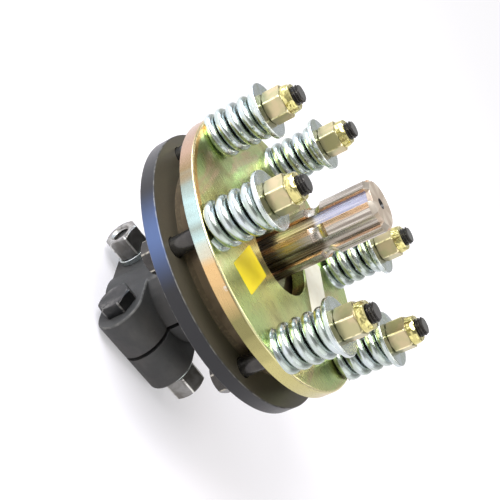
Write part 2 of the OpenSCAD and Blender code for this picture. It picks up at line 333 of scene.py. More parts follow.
@dataclass(frozen=True)
class Finish:
    """One surface finish, made into a material when it is first asked for.

    Attributes:
        slot: the part's material slot that the finish belongs to.
    """

    slot: str

    def title(self) -> str:
        """Give the name of the finish's material."""
        return f"{self.slot}_finish"

    def material(self) -> bpy.types.Material:
        """Give the finish's material, making it once.

        Returns:
            The material.
        """
        name = self.title()
        found = bpy.data.materials.get(name)
        if found:
            return found
        made = bpy.data.materials.new(name)
        made.use_nodes = True
        graph = Graph(made.node_tree)
        place = graph.add("ShaderNodeTexCoord").outputs["Object"]
        shader = graph.add("ShaderNodeBsdfPrincipled", self.surface(graph, place))
        graph.add("ShaderNodeOutputMaterial", {"Surface": shader.outputs[0]})
        return made

    def surface(self, graph: Graph, place: Socket) -> dict:
        """Build the pattern of the finish.

        Args:
            graph: the material's nodes.
            place: coordinates on the piece, in metres.

        Returns:
            Values and sockets for the inputs of the surface shader.
        """
        raise NotImplementedError


@dataclass(frozen=True)
class Metal(Finish):
    """Plated or bare metal with clouds of tint, fine marks and brighter worn edges.

    Attributes:
        main: colour of most of the surface.
        cloud: colour of the clouds on it.
        worn: colour of the worn edges.
        cloud_scale: clouds per metre.
        rough: mean roughness.
        spread: change of roughness over the marks.
        mark_scale: fine marks per metre.
        mark_depth: depth of the fine marks.
        metallic: share of metal in the surface.
        variant: what tells this finish from another one of the same slot.
    """

    main: Colour
    cloud: Colour
    worn: Colour
    cloud_scale: float = 70.0
    rough: float = 0.25
    spread: float = 0.15
    mark_scale: float = 900.0
    mark_depth: float = 0.02 * MM
    metallic: float = 1.0
    variant: str = ""

    def title(self) -> str:
        """Give the name of the finish's material, with its variant."""
        return f"{self.slot}{self.variant}_finish"

    def surface(self, graph: Graph, place: Socket) -> dict:
        """Build clouds, marks and worn edges.

        Args:
            graph: the material's nodes.
            place: coordinates on the piece, in metres.

        Returns:
            Values and sockets for the inputs of the surface shader.
        """
        marks = graph.noise(place, self.mark_scale, detail=4.0)
        clouds = graph.patches(place, 0.36, 0.66, scale=self.cloud_scale, detail=4.0, warp=0.6)
        low = self.rough - self.spread / 2
        return {
            "Base Color": graph.coats(
                self.main, (clouds, 1.0, self.cloud), (graph.rubbed(place), 1.0, self.worn)
            ),
            "Metallic": self.metallic,
            "Roughness": graph.between(marks, low, low + self.spread),
            "Normal": graph.bump(marks, self.mark_depth),
        }


@dataclass(frozen=True)
class YellowZinc(Finish):
    """Yellow passivated zinc on the pressure plate: a clouded face and a rim with bands that are partly tint
    and partly painted reflection.

    The colours from straw to olive lie on the face; the amber near its edge is a painted reflection, the
    cream on the edge a painted highlight, and the others lie on the rim.

    Attributes:
        rim_r: radius of the plate's rim.
        front_z: level of the plate's front face.
        middle: bearing at the middle of the rim's bands.
        amber_reflection_reach: reach of the painted amber reflection near the edge, from the rim.
        amber_reflection_rise: shares of a turn where that painted reflection starts.
        amber_reflection_fall: shares of a turn where it ends.
        edge_highlight_reach: reach of the painted cream highlight on the edge, from the rim.
        side_reach: reach of the rim's bands, from the rim.
        side_depth: reach of the rim's bands, below the front face.
        drift: how far the bands wander, as a share of a turn.
        scar_bearing: bearing of the scar on the rim.
        scar_depth: how far the scar's middle lies below the front face.
        scar_reach: reach of the scar, from its middle.
        scar_rag: how ragged the scar's edge is.
        line_depth: depth of the rolled lines.
        rough: roughness between and on the rolled lines.
    """

    rim_r: float
    front_z: float
    middle: float = math.radians(250)
    straw: Colour = srgb(212, 210, 144)
    green: Colour = srgb(194, 214, 144)
    pink: Colour = srgb(214, 176, 146)
    olive: Colour = srgb(146, 142, 88)
    amber_reflection: Colour = srgb(226, 168, 92)
    cream_highlight: Colour = srgb(250, 236, 190)
    rose: Colour = srgb(176, 146, 122)
    umber: Colour = srgb(142, 122, 88)
    sage: Colour = srgb(144, 155, 144)
    mint: Colour = srgb(174, 200, 196)
    peach: Colour = srgb(206, 172, 120)
    moss: Colour = srgb(132, 127, 83)
    flax: Colour = srgb(188, 180, 121)
    gold: Colour = srgb(236, 204, 134)
    scar: Colour = srgb(206, 206, 196)
    amber_reflection_reach: Reach = (-5.0 * MM, -3.2 * MM)
    amber_reflection_rise: Reach = (0.28, 0.34)
    amber_reflection_fall: Reach = (0.475, 0.44)
    edge_highlight_reach: Reach = (-1.7 * MM, -1.0 * MM)
    side_reach: Reach = (-1.2 * MM, -0.8 * MM)
    side_depth: Reach = (0.7 * MM, 1.0 * MM)
    drift: float = 0.05
    scar_bearing: float = math.radians(263)
    scar_depth: float = 2.0 * MM
    scar_reach: Reach = (5.1 * MM, 4.1 * MM)
    scar_rag: float = 7.0 * MM
    line_depth: float = 0.003 * MM
    rough: tuple[float, float] = (0.24, 0.32)

    def surface(self, graph: Graph, place: Socket) -> dict:
        """Build the clouds of the face, the rim's bands of tint and painted reflection, and the painted
        reflection and painted highlight at the edge between.

        Args:
            graph: the material's nodes.
            place: coordinates on the piece, in metres.

        Returns:
            Values and sockets for the inputs of the surface shader.
        """
        share = graph.bearing(place, self.middle)
        radius = graph.radius(place)
        depth = graph.math("SUBTRACT", self.front_z, graph.height(place))
        green = graph.patches(place, 0.38, 0.6, scale=13.0, detail=2.0, warp=0.6)
        olive = graph.patches(place, 0.5, 0.72, scale=24.0, warp=0.8)
        pink = graph.patches(place, 0.52, 0.7, scale=28.0, warp=0.8, grain=Grain.PULLED)
        # painted amber reflection on the face near the rim, over one span of bearings
        turn = graph.band(share, self.amber_reflection_rise, self.amber_reflection_fall)
        lip = graph.times(graph.past(radius, self.rim_r, self.amber_reflection_reach), turn)
        # painted cream highlight along the rounded edge
        edge = graph.past(radius, self.rim_r, self.edge_highlight_reach)
        # rim bands: partly the zinc's tint, partly painted reflection
        side = graph.times(
            graph.step(depth, *self.side_depth), graph.past(radius, self.rim_r, self.side_reach)
        )
        lines = graph.noise(place, scale=1500.0, grain=Grain.ROLLED)
        return {
            "Base Color": graph.coats(
                self.straw,
                (green, 1.0, self.green),
                (olive, 1.0, self.olive),
                (pink, 0.6, self.pink),
                (lip, 0.85, self.amber_reflection),
                (edge, 0.7, self.cream_highlight),
                (side, 1.0, self.bands(graph, place, share)),
                (self.scarred(graph, place), 0.7, self.scar),
            ),
            "Metallic": 1.0,
            "Roughness": graph.between(lines, *self.rough),
            "Normal": graph.bump(lines, self.line_depth),
        }

    def bands(self, graph: Graph, place: Socket, share: Socket) -> Socket:
        """Build the bands round the rim, partly the zinc's tint and partly painted reflection.

        Args:
            graph: the material's nodes.
            place: coordinates on the piece, in metres.
            share: share of a turn about the main axis.

        Returns:
            The colour of the rim.
        """
        waves = graph.noise(place, scale=60.0, detail=2.0, grain=Grain.UPRIGHT)
        drift = graph.math("SUBTRACT", graph.times(waves, self.drift), self.drift / 2)
        return graph.ramp(graph.math("ADD", share, drift), (
            (0.20, self.gold), (0.29, self.rose), (0.38, self.rose), (0.41, self.umber), (0.425, self.sage),
            (0.45, self.mint), (0.47, self.sage), (0.49, self.mint), (0.512, self.peach), (0.53, self.peach),
            (0.57, self.moss), (0.59, self.moss), (0.63, self.flax), (0.72, self.flax), (0.76, self.peach),
            (0.86, self.gold),
        ))

    def scarred(self, graph: Graph, place: Socket) -> Socket:
        """Build the small ragged scar on the rim.

        Args:
            graph: the material's nodes.
            place: coordinates on the piece, in metres.

        Returns:
            The field of the scar.
        """
        across, deep = math.cos(self.scar_bearing), math.sin(self.scar_bearing)
        spot = (self.rim_r * across, self.rim_r * deep, self.front_z - self.scar_depth)
        ragged = graph.times(graph.noise(place, scale=900.0, detail=4.0), self.scar_rag)
        away = graph.math("ADD", graph.vector("DISTANCE", place, spot), ragged)
        return graph.step(away, *self.scar_reach)


@dataclass(frozen=True)
class LockNutZinc(Finish):
    """Yellow zinc on a lock nut: dull flats, rubbed corners and a bright dented collar.

    Attributes:
        collar_z: level where the collar starts.
        flat: colour of the flats.
        blush: colour of the clouds on the flats.
        collar: colour of the collar.
        bright: colour of the rubbed corners.
        collar_reach: reach of the collar, from the level where it starts.
        rough: roughness of the flats and of the collar.
        dent_depth: depth of the collar's dents.
        flat_dents: share of that depth on the flats.
    """

    collar_z: float
    flat: Colour = srgb(178, 172, 130)
    blush: Colour = srgb(194, 178, 140)
    collar: Colour = srgb(214, 204, 136)
    bright: Colour = srgb(246, 236, 190)
    collar_reach: Reach = (-0.1 * MM, 0.3 * MM)
    rough: tuple[float, float] = (0.32, 0.16)
    dent_depth: float = 0.8 * MM
    flat_dents: float = 0.05

    def surface(self, graph: Graph, place: Socket) -> dict:
        """Build the flats, the collar and the rubbed corners.

        Args:
            graph: the material's nodes.
            place: coordinates on the piece, in metres.

        Returns:
            Values and sockets for the inputs of the surface shader.
        """
        clouds = graph.patches(place, 0.4, 0.65, scale=110.0, warp=0.6)
        top = graph.past(graph.height(place), self.collar_z, self.collar_reach)
        dents = graph.times(
            graph.noise(place, scale=170.0, detail=2.0), graph.between(top, self.flat_dents, 1.0)
        )
        return {
            "Base Color": graph.coats(
                self.flat,
                (clouds, 1.0, self.blush),
                (top, 1.0, self.collar),
                (graph.rubbed(place), 1.0, self.bright),
            ),
            "Metallic": 1.0,
            "Roughness": graph.between(top, *self.rough),
            "Normal": graph.bump(dents, self.dent_depth),
        }


@dataclass(frozen=True)
class SplineSteel(Finish):
    """Bare machined steel of the stub, with streaks along it and a turned end face; painted shade darkens
    the part inside the groove and the centre hole, and painted light and reflections lie on the roots, the
    flanks and one tooth.

    Attributes:
        root_r: radius of the spline's root.
        tip_r: radius over the spline's teeth.
        end_z: level of the free end.
        chamfer: length of the end chamfer.
        hole_r: radius of the centre hole.
        weld_z: level at the top of the weld.
        groove_z: level of the locking groove.
        inner_shade_reach: reach of the painted shade on the part inside the groove, from the groove.
        root_reach: reach of the root, from its radius.
        blue_reflection_bearing: bearing of the root with a painted blue reflection.
        blue_reflection_reach: reach of that painted reflection, in shares of a turn.
        glint_bearing: bearing of the painted warm glint along a tooth.
        glint_reach: reach of that painted glint, in shares of a turn.
        flank_rise: where the painted copper reflection on the flanks starts, from the root.
        flank_fall: where it ends, from the tip.
        end_reach: reach of the end face, from the foot of the chamfer.
        hole_reach: reach of the hole, from its radius.
        hole_depth: reach of the hole, from the free end.
        weld_reach: reach of the weld, from its top.
        rough: roughness between and on the fine lines.
        end_rough: roughness that the end face adds.
        weld_rough: roughness that the weld adds.
        line_depth: depth of the fine lines.
        plain_lines: share of that depth on the end face and the weld.
    """

    root_r: float
    tip_r: float
    end_z: float
    chamfer: float
    hole_r: float
    weld_z: float
    groove_z: float
    dark: Colour = srgb(84, 73, 60)
    grey: Colour = srgb(146, 137, 125)
    light: Colour = srgb(198, 191, 180)
    blue: Colour = srgb(146, 152, 182)
    copper_reflection: Colour = srgb(204, 160, 122)
    glint: Colour = srgb(242, 190, 142)
    face: Colour = srgb(190, 174, 157)
    bright: Colour = srgb(226, 217, 204)
    shade: Colour = srgb(34, 30, 27)
    bead: Colour = srgb(110, 100, 90)
    inner_shade_reach: Reach = (2 * MM, -2 * MM)
    root_reach: Reach = (1.1 * MM, 0.4 * MM)
    blue_reflection_bearing: float = math.radians(229)
    blue_reflection_reach: Reach = (0.08, 0.06)
    glint_bearing: float = math.radians(250)
    glint_reach: Reach = (0.019, 0.012)
    flank_rise: Reach = (0.5 * MM, 1.2 * MM)
    flank_fall: Reach = (-0.1 * MM, -0.5 * MM)
    end_reach: Reach = (-0.1 * MM, 0.2 * MM)
    hole_reach: Reach = (0.15 * MM, -0.05 * MM)
    hole_depth: Reach = (-12 * MM, -10 * MM)
    weld_reach: Reach = (0.1 * MM, -0.1 * MM)
    rough: tuple[float, float] = (0.18, 0.36)
    end_rough: float = 0.1
    weld_rough: float = 0.25
    line_depth: float = 0.07 * MM
    plain_lines: float = 0.03

    def surface(self, graph: Graph, place: Socket) -> dict:
        """Build the streaks, the end face and the dull weld, with painted shade inside the groove and in the
        hole, painted light and a painted blue reflection on the roots, and painted warm reflections on the
        flanks and one tooth.

        Args:
            graph: the material's nodes.
            place: coordinates on the piece, in metres.

        Returns:
            Values and sockets for the inputs of the surface shader.
        """
        radius = graph.radius(place)
        level = graph.height(place)
        streaks = graph.noise(place, scale=620.0, detail=4.0, grain=Grain.AXIAL)
        lines = graph.noise(place, scale=1900.0, grain=Grain.AXIAL)
        # painted shade on the part of the stub inside the groove, towards the plate
        inner = graph.past(level, self.groove_z, self.inner_shade_reach)
        root = graph.past(radius, self.root_r, self.root_reach)
        # painted light on the roots outside that shade
        pale = graph.times(root, graph.rest(inner))
        # painted blue reflection on the root at one bearing
        blue_reflection = graph.times(pale, graph.near(place, self.blue_reflection_bearing, self.blue_reflection_reach))
        # painted warm glint along one tooth at one bearing
        glint_streak = graph.times(graph.near(place, self.glint_bearing, self.glint_reach), graph.rest(root))
        # painted copper reflection on the tooth flanks
        flank = graph.times(
            graph.past(radius, self.root_r, self.flank_rise), graph.past(radius, self.tip_r, self.flank_fall)
        )
        end = graph.past(level, self.end_z - self.chamfer, self.end_reach)
        # painted shade in the centre hole
        hole = graph.times(
            graph.past(radius, self.hole_r, self.hole_reach), graph.past(level, self.end_z, self.hole_depth)
        )
        weld = graph.past(level, self.weld_z, self.weld_reach)
        dull = graph.math("ADD", graph.times(end, self.end_rough), graph.times(weld, self.weld_rough))
        plain = graph.between(graph.math("MAXIMUM", end, weld), 1.0, self.plain_lines)
        return {
            "Base Color": graph.coats(
                graph.ramp(streaks, ((0.4, self.dark), (0.5, self.grey), (0.62, self.light))),
                (inner, 0.5, self.dark),
                (pale, 0.4, self.light),
                (blue_reflection, 0.6, self.blue),
                (flank, 0.6, self.copper_reflection),
                (glint_streak, 0.85, self.glint),
                (end, 1.0, self.face),
                (graph.wear(), 1.0, self.bright),
                (hole, 1.0, self.shade),
                (weld, 1.0, self.bead),
            ),
            "Metallic": graph.rest(hole),
            "Roughness": graph.math("ADD", graph.between(lines, *self.rough), dull),
            "Normal": graph.bump(graph.times(lines, plain), self.line_depth),
        }


@dataclass(frozen=True)
class BlackCasting(Finish):
    """Black hub: rough cast block, smoother turned flange, rubbed edges on the flange's rims and a painted
    blue reflection on the rim.

    Attributes:
        rim_r: radius of the flange.
        middle_z: level of the flange's middle.
        half_t: half the flange's thickness.
        block_angle: angle of the clamp block's bolts.
        block_half: half the depth of the clamp block along its bolts.
        cast: colour of the cast skin.
        dust: colour of the paler patches on it.
        face: colour of the turned flange.
        rim: colour of the flange's rim.
        sheen: colour of the painted blue reflection on the rim.
        bare: colour of the rubbed edges.
        flange_reach: radii between which the cast skin gives way to the turned flange.
        side_reach: reach of the rim, from its radius.
        sheen_bearing: bearing of that painted reflection.
        sheen_reach: reach of that painted reflection, in shares of a turn.
        corner_reach: reach of the rubbed corners, from half the thickness.
        corner_width: reach of the rubbed corners, from the rim.
        block_rise: where the rubbed edge of the block starts, from its face.
        block_fall: where it ends, from its face.
        chip: least share of a rubbed edge that is left between chips.
        metallic: share of metal in the skin and in the rim.
        rough: least roughness.
        grit_rough: roughness that the grit adds.
        skin_rough: roughness that the cast skin adds.
        edge_rough: roughness that a rubbed edge adds.
        grit_depth: depth of the grit.
        turned_grit: share of the grit on the turned flange.
    """

    rim_r: float
    middle_z: float
    half_t: float
    block_angle: float
    block_half: float
    cast: Colour = srgb(62, 62, 61)
    dust: Colour = srgb(88, 85, 81)
    face: Colour = srgb(78, 73, 62)
    rim: Colour = srgb(50, 50, 51)
    sheen: Colour = srgb(84, 102, 140)
    bare: Colour = srgb(150, 147, 140)
    flange_reach: Reach = (58 * MM, 66 * MM)
    side_reach: Reach = (-1.0 * MM, -0.3 * MM)
    sheen_bearing: float = math.radians(236)
    sheen_reach: Reach = (0.06, 0.0)
    corner_reach: Reach = (-0.75 * MM, -0.5 * MM)
    corner_width: Reach = (-1.6 * MM, -1.2 * MM)
    block_rise: Reach = (-1.5 * MM, -1.0 * MM)
    block_fall: Reach = (-0.02 * MM, -0.2 * MM)
    chip: float = 0.25
    metallic: tuple[float, float] = (0.1, 0.7)
    rough: float = 0.3
    grit_rough: float = 0.14
    skin_rough: float = 0.22
    edge_rough: float = 0.25
    grit_depth: float = 0.5 * MM
    turned_grit: float = 0.02

    def surface(self, graph: Graph, place: Socket) -> dict:
        """Build the cast skin, the turned flange, its worn rims and the painted blue reflection on the rim.

        Args:
            graph: the material's nodes.
            place: coordinates on the piece, in metres.

        Returns:
            Values and sockets for the inputs of the surface shader.
        """
        radius = graph.radius(place)
        grit = graph.noise(place, scale=640.0, detail=5.0)
        dust = graph.patches(place, 0.4, 0.75, scale=45.0, detail=4.0, warp=0.5)
        chips = graph.patches(place, 0.4, 0.62, scale=240.0, detail=5.0)
        chipped = graph.between(chips, self.chip, 1.0)
        flange = graph.step(radius, *self.flange_reach)
        cast = graph.rest(flange)
        side = graph.past(radius, self.rim_r, self.side_reach)
        # painted blue reflection on the rim at one bearing
        rim = graph.mix(graph.near(place, self.sheen_bearing, self.sheen_reach), self.rim, self.sheen)
        level = graph.math("ABSOLUTE", graph.math("SUBTRACT", graph.height(place), self.middle_z))
        corner = graph.math("ADD", graph.math("SUBTRACT", radius, self.rim_r), level)
        edge = graph.times(
            graph.past(corner, self.half_t, self.corner_reach),
            graph.past(radius, self.rim_r, self.corner_width),
        )
        heading = (math.cos(self.block_angle), math.sin(self.block_angle), 0.0)
        along = graph.math("ABSOLUTE", graph.vector("DOT_PRODUCT", place, heading))
        block_edge = graph.times(
            graph.past(along, self.block_half, self.block_rise),
            graph.past(along, self.block_half, self.block_fall),
            cast,
        )
        skin = graph.times(cast, self.skin_rough)
        dull = graph.math("ADD", skin, graph.times(edge, self.edge_rough))
        plain = graph.math("ADD", dull, self.rough)
        return {
            "Base Color": graph.coats(
                self.cast,
                (dust, 0.6, self.dust),
                (flange, 1.0, self.face),
                (side, 1.0, rim),
                (graph.times(edge, chipped), 0.5, self.bare),
                (graph.times(block_edge, chipped), 0.35, self.bare),
            ),
            "Metallic": graph.between(side, *self.metallic),
            "Roughness": graph.math("ADD", graph.times(grit, self.grit_rough), plain),
            "Normal": graph.bump(
                graph.times(grit, graph.math("ADD", skin, self.turned_grit)), self.grit_depth
            ),
        }


@dataclass(frozen=True)
class Matt(Finish):
    """Matt surface with speckles and soft creases, such as lining, vinyl and paper.

    Attributes:
        main: colour of most of the surface.
        fleck: colour of the speckles.
        fleck_scale: speckles per metre.
        fleck_share: strength of the speckles.
        rough: mean roughness.
        spread: change of roughness over the creases.
        crease_scale: creases per metre.
        crease_depth: depth of the creases.
        specular: strength of the reflection.
    """

    main: Colour
    fleck: Colour
    fleck_scale: float = 500.0
    fleck_share: float = 0.5
    rough: float = 0.6
    spread: float = 0.2
    crease_scale: float = 60.0
    crease_depth: float = 0.1 * MM
    specular: float = 0.3

    def surface(self, graph: Graph, place: Socket) -> dict:
        """Build the speckles and creases.

        Args:
            graph: the material's nodes.
            place: coordinates on the piece, in metres.

        Returns:
            Values and sockets for the inputs of the surface shader.
        """
        flecks = graph.patches(place, 0.45, 0.7, scale=self.fleck_scale, detail=4.0)
        folds = graph.noise(place, self.crease_scale, warp=0.8)
        low = self.rough - self.spread / 2
        return {
            "Base Color": graph.coats(self.main, (flecks, self.fleck_share, self.fleck)),
            "Specular IOR Level": self.specular,
            "Roughness": graph.between(folds, low, low + self.spread),
            "Normal": graph.bump(folds, self.crease_depth),
        }


def new_object(name: str, mesh: bpy.types.Mesh) -> bpy.types.Object:
    """Link a new object into the scene.

    Args:
        name: name of the object.
        mesh: mesh of the object.

    Returns:
        The new object.
    """
    made = bpy.data.objects.new(name, mesh)
    bpy.context.scene.collection.objects.link(made)
    return made


def discard(piece: bpy.types.Object) -> None:
    """Remove a helper object and its mesh.

    Args:
        piece: the object to remove.
    """
    mesh = piece.data
    bpy.data.objects.remove(piece)
    bpy.data.meshes.remove(mesh)


@contextmanager
def edited(mesh: bpy.types.Mesh) -> Iterator[bmesh.types.BMesh]:
    """Open a mesh for editing and write it back afterwards.

    Args:
        mesh: the mesh to edit.

    Yields:
        The open mesh.
    """
    shape = bmesh.new()
    shape.from_mesh(mesh)
    yield shape
    shape.to_mesh(mesh)
    shape.free()


def settle(piece: bpy.types.Object) -> None:
    """Turn a piece with its modifiers into a plain mesh, and remove the modifiers.

    Args:
        piece: the piece that gets the plain mesh.
    """
    graph = bpy.context.evaluated_depsgraph_get()
    mesh = bpy.data.meshes.new_from_object(
        piece.evaluated_get(graph), preserve_all_data_layers=True, depsgraph=graph
    )
    old = piece.data
    piece.modifiers.clear()
    piece.data = mesh
    mesh.name = piece.name
    bpy.data.meshes.remove(old)


def coat(mesh: bpy.types.Mesh, finish: Finish) -> None:
    """Give a mesh one finish in place of any that it has."""
    mesh.materials.clear()
    mesh.materials.append(finish.material())


def smooth(piece: bpy.types.Object, angle: float = SHARP_ANGLE) -> None:
    """Shade a piece smooth, with its flat faces kept flat.

    Args:
        piece: the piece to shade.
        angle: angle between faces from which an edge stays sharp.
    """
    piece.data.shade_smooth()
    piece.data.set_sharp_from_angle(angle=angle)
    weighted = piece.modifiers.new("even_normals", "WEIGHTED_NORMAL")
    weighted.keep_sharp = True
    settle(piece)


def clean(piece: bpy.types.Object) -> None:
    """Merge the points that a cut doubles, and split the faces that it leaves into sound triangles.

    Args:
        piece: the piece that was cut.
    """
    with edited(piece.data) as shape:
        bmesh.ops.remove_doubles(shape, verts=shape.verts, dist=MERGE_DISTANCE)
        bmesh.ops.triangulate(shape, faces=shape.faces, quad_method="BEAUTY", ngon_method="BEAUTY")
        bmesh.ops.dissolve_degenerate(shape, edges=shape.edges, dist=MERGE_DISTANCE)


def carve(piece: bpy.types.Object, tools: Sequence[bpy.types.Object], operation: str = "DIFFERENCE") -> None:
    """Cut tools out of a piece, or join them to it, and discard them.

    Args:
        piece: the piece that is worked.
        tools: closed objects to cut or join with.
        operation: the boolean operation.
    """
    for tool in tools:
        cut = piece.modifiers.new(tool.name, "BOOLEAN")
        cut.operation = operation
        cut.solver = "EXACT"
        cut.object = tool
    settle(piece)
    clean(piece)
    for tool in tools:
        discard(tool)


def stack(name: str, rings: Sequence[np.ndarray], wear: Sequence, wrap: bool) -> bpy.types.Object:
    """Make a closed mesh from rings of points.

    Args:
        name: name of the object.
        rings: arrays of points, all of the same length.
        wear: wear of each ring's points, a number or an array for each ring.
        wrap: join the last ring to the first, and otherwise cap both ends.

    Returns:
        The new object.
    """
    count = len(rings[0])
    last = (len(rings) - 1) * count
    faces = []
    for low in range(len(rings) if wrap else len(rings) - 1):
        base, above = low * count, (low + 1) % len(rings) * count
        for here in range(count):
            there = (here + 1) % count
            faces.append((base + here, base + there, above + there, above + here))
    if not wrap:
        faces.append(tuple(range(count - 1, -1, -1)))
        faces.append(tuple(range(last, last + count)))
    mesh = bpy.data.meshes.new(name)
    mesh.from_pydata(np.concatenate(rings).tolist(), [], faces)
    values = np.concatenate([np.broadcast_to(value, count) for value in wear]).astype(np.float32)
    mesh.attributes.new("wear", "FLOAT", "POINT").data.foreach_set("value", values)
    with edited(mesh) as shape:
        bmesh.ops.remove_doubles(shape, verts=shape.verts, dist=MERGE_DISTANCE)
        bmesh.ops.recalc_face_normals(shape, faces=shape.faces)
    return new_object(name, mesh)


def ring(radii: np.ndarray | float, level: float, angles: np.ndarray) -> np.ndarray:
    """Give the points of one ring about Z."""
    reach = np.broadcast_to(radii, angles.size)
    return np.column_stack((reach * np.cos(angles), reach * np.sin(angles), np.full(angles.size, level)))


def even_angles(count: int) -> np.ndarray:
    """Give evenly spaced angles round a full turn."""
    return np.arange(count) * (2 * math.pi / count)


def rounded(corners: Sequence[tuple[float, float, float]], closed: bool, steps: int = 4) -> Profile:
    """Round the corners of a turned outline.

    Args:
        corners: radius, level and length of the rounding of each corner.
        closed: whether the last corner joins the first.
        steps: pieces that a round corner is made of.

    Returns:
        Radius, level and wear of each point along the outline.
    """
    points: Profile = []
    total = len(corners)
    for index, (radius, level, size) in enumerate(corners):
        at_end = not closed and index in (0, total - 1)
        if size == 0 or at_end:
            points.append((radius, level, 0.0))
            continue
        here = np.array((radius, level))
        before = np.array(corners[index - 1][:2]) - here
        after = np.array(corners[(index + 1) % total][:2]) - here
        start = here + before / np.linalg.norm(before) * size
        end = here + after / np.linalg.norm(after) * size
        for step in range(steps + 1):
            share = step / steps
            spot = (1 - share) ** 2 * start + 2 * share * (1 - share) * here + share**2 * end
            points.append((float(spot[0]), float(spot[1]), math.sin(math.pi * share)))
    return points


def turned(name: str, corners: Sequence[tuple[float, float, float]], closed: bool) -> bpy.types.Object:
    """Turn a rounded outline about the main axis.

    Args:
        name: name of the object.
        corners: radius, level and length of the rounding of each corner.
        closed: True for a ring, and False for a solid that closes on the axis.

    Returns:
        The new object.
    """
    outline = rounded(corners, closed)
    angles = even_angles(TURNED_FACETS)
    rings = [ring(radius, level, angles) for radius, level, _ in outline]
    return stack(name, rings, [worn for _, _, worn in outline], closed)


def washer(
    name: str, bore: float, radius: float, levels: tuple[float, float], edge: float,
) -> bpy.types.Object:
    """Turn a flat washer with eased edges.

    Args:
        name: name of the object.
        bore: radius of the bore.
        radius: radius of the rim.
        levels: levels of the two faces.
        edge: length of the rounding at the rim; the bore has half of it.

    Returns:
        The new object.
    """
    low, high = levels
    return turned(name, [
        (bore, low, edge / 2), (radius, low, edge), (radius, high, edge), (bore, high, edge / 2),
    ], True)


def drill(name: str, radius: float, low: float, high: float) -> bpy.types.Object:
    """Make a plain cylinder along Z to cut a hole with."""
    angles = even_angles(DRILL_FACETS)
    return stack(name, [ring(radius, low, angles), ring(radius, high, angles)], [0.0, 0.0], False)


class Hexagon:
    """Polar outline of a hexagon with eased corners, one corner along X."""

    OFFSETS = (-4.0, -2.0, 0.0, 2.0, 4.0, 12.0, 21.0, 30.0, 39.0, 48.0)
    CORNER_WEAR = (0.0, 0.9, 1.0, 0.9, 0.0, 0.0, 0.0, 0.0, 0.0, 0.0)
    EASE = 0.2 * MM
    FACE_SHARE = 0.97

    def __init__(self, flats: float) -> None:
        """Work out the outline.

        Args:
            flats: width across flats.
        """
        sector = np.radians(360 / HEX_SIDES)
        sides = np.arange(HEX_SIDES)[:, None] * sector
        self.angles = (sides + np.radians(self.OFFSETS)[None, :]).ravel()
        self.wear = np.tile(self.CORNER_WEAR, HEX_SIDES)
        self.flat_r = flats / 2
        self.corner_r = self.flat_r / math.cos(sector / 2)
        from_flat = np.mod(self.angles, sector) - sector / 2
        self.radii = np.minimum(self.flat_r / np.cos(from_flat), self.corner_r - self.EASE)

    def ring(self, level: float, limit: float | np.ndarray = 1.0) -> np.ndarray:
        """Give the outline at a level, held inside a limit of radius."""
        return ring(np.minimum(self.radii, limit), level, self.angles)

    def circle(self, radius: float | np.ndarray, level: float) -> np.ndarray:
        """Give a circle, or any radii, on the outline's own angles."""
        return ring(radius, level, self.angles)

    def chamfer(self, level: float, upward: bool, steps: int = 4) -> list[np.ndarray]:
        """Give the rings of the cone that eases the corners at an end.

        Args:
            level: level of the end face.
            upward: True at the lower end, where the cone widens upwards.
            steps: rings after the first.

        Returns:
            Rings in order of rising level.
        """
        limits = np.linspace(self.flat_r * self.FACE_SHARE, self.corner_r, steps + 1)
        rises = (limits - limits[0]) * math.tan(HEX_CHAMFER)
        if upward:
            return [self.ring(level + rise, limit) for limit, rise in zip(limits, rises)]
        return [self.ring(level - rise, limit) for limit, rise in reversed(list(zip(limits, rises)))]

    def nut_sides(self, bore: float, low: float, high: float) -> tuple[list[np.ndarray], list]:
        """Give the outside of a nut, from its bore at the low face to the chamfer at the high one.

        Args:
            bore: radius of the bore.
            low: level of the low face.
            high: level of the high face.

        Returns:
            Rings in order of rising level, and the wear of each.
        """
        rings = [self.circle(bore, low)] + self.chamfer(low, True) + self.chamfer(high, False)
        return rings, [0.0] + [self.wear] * (len(rings) - 1)


@dataclass(frozen=True)
class Thread:
    """Metric screw thread.

    Attributes:
        outer_r: radius over the crests.
        pitch: rise of one turn.
    """

    outer_r: float
    pitch: float

    DEPTH_SHARE = 0.58
    FLANK_SLOPE = 1.25
    CREST_SHARE = 0.12

    def radii(self, angles: np.ndarray, level: float) -> np.ndarray:
        """Give the radius of the thread round one level.

        Args:
            angles: angles about the thread's axis.
            level: level along the axis.

        Returns:
            The radius at each angle.
        """
        depth = self.DEPTH_SHARE * self.pitch
        phase = np.mod(level / self.pitch - angles / (2 * math.pi), 1.0)
        slope = self.FLANK_SLOPE * np.abs(2 * phase - 1) - self.CREST_SHARE
        return self.outer_r - depth * np.clip(slope, 0.0, 1.0)

    def levels(self, low: float, high: float, steps: int = 12) -> np.ndarray:
        """Give evenly spaced levels, a number of steps for each turn."""
        return np.linspace(low, high, max(2, round((high - low) / self.pitch * steps) + 1))


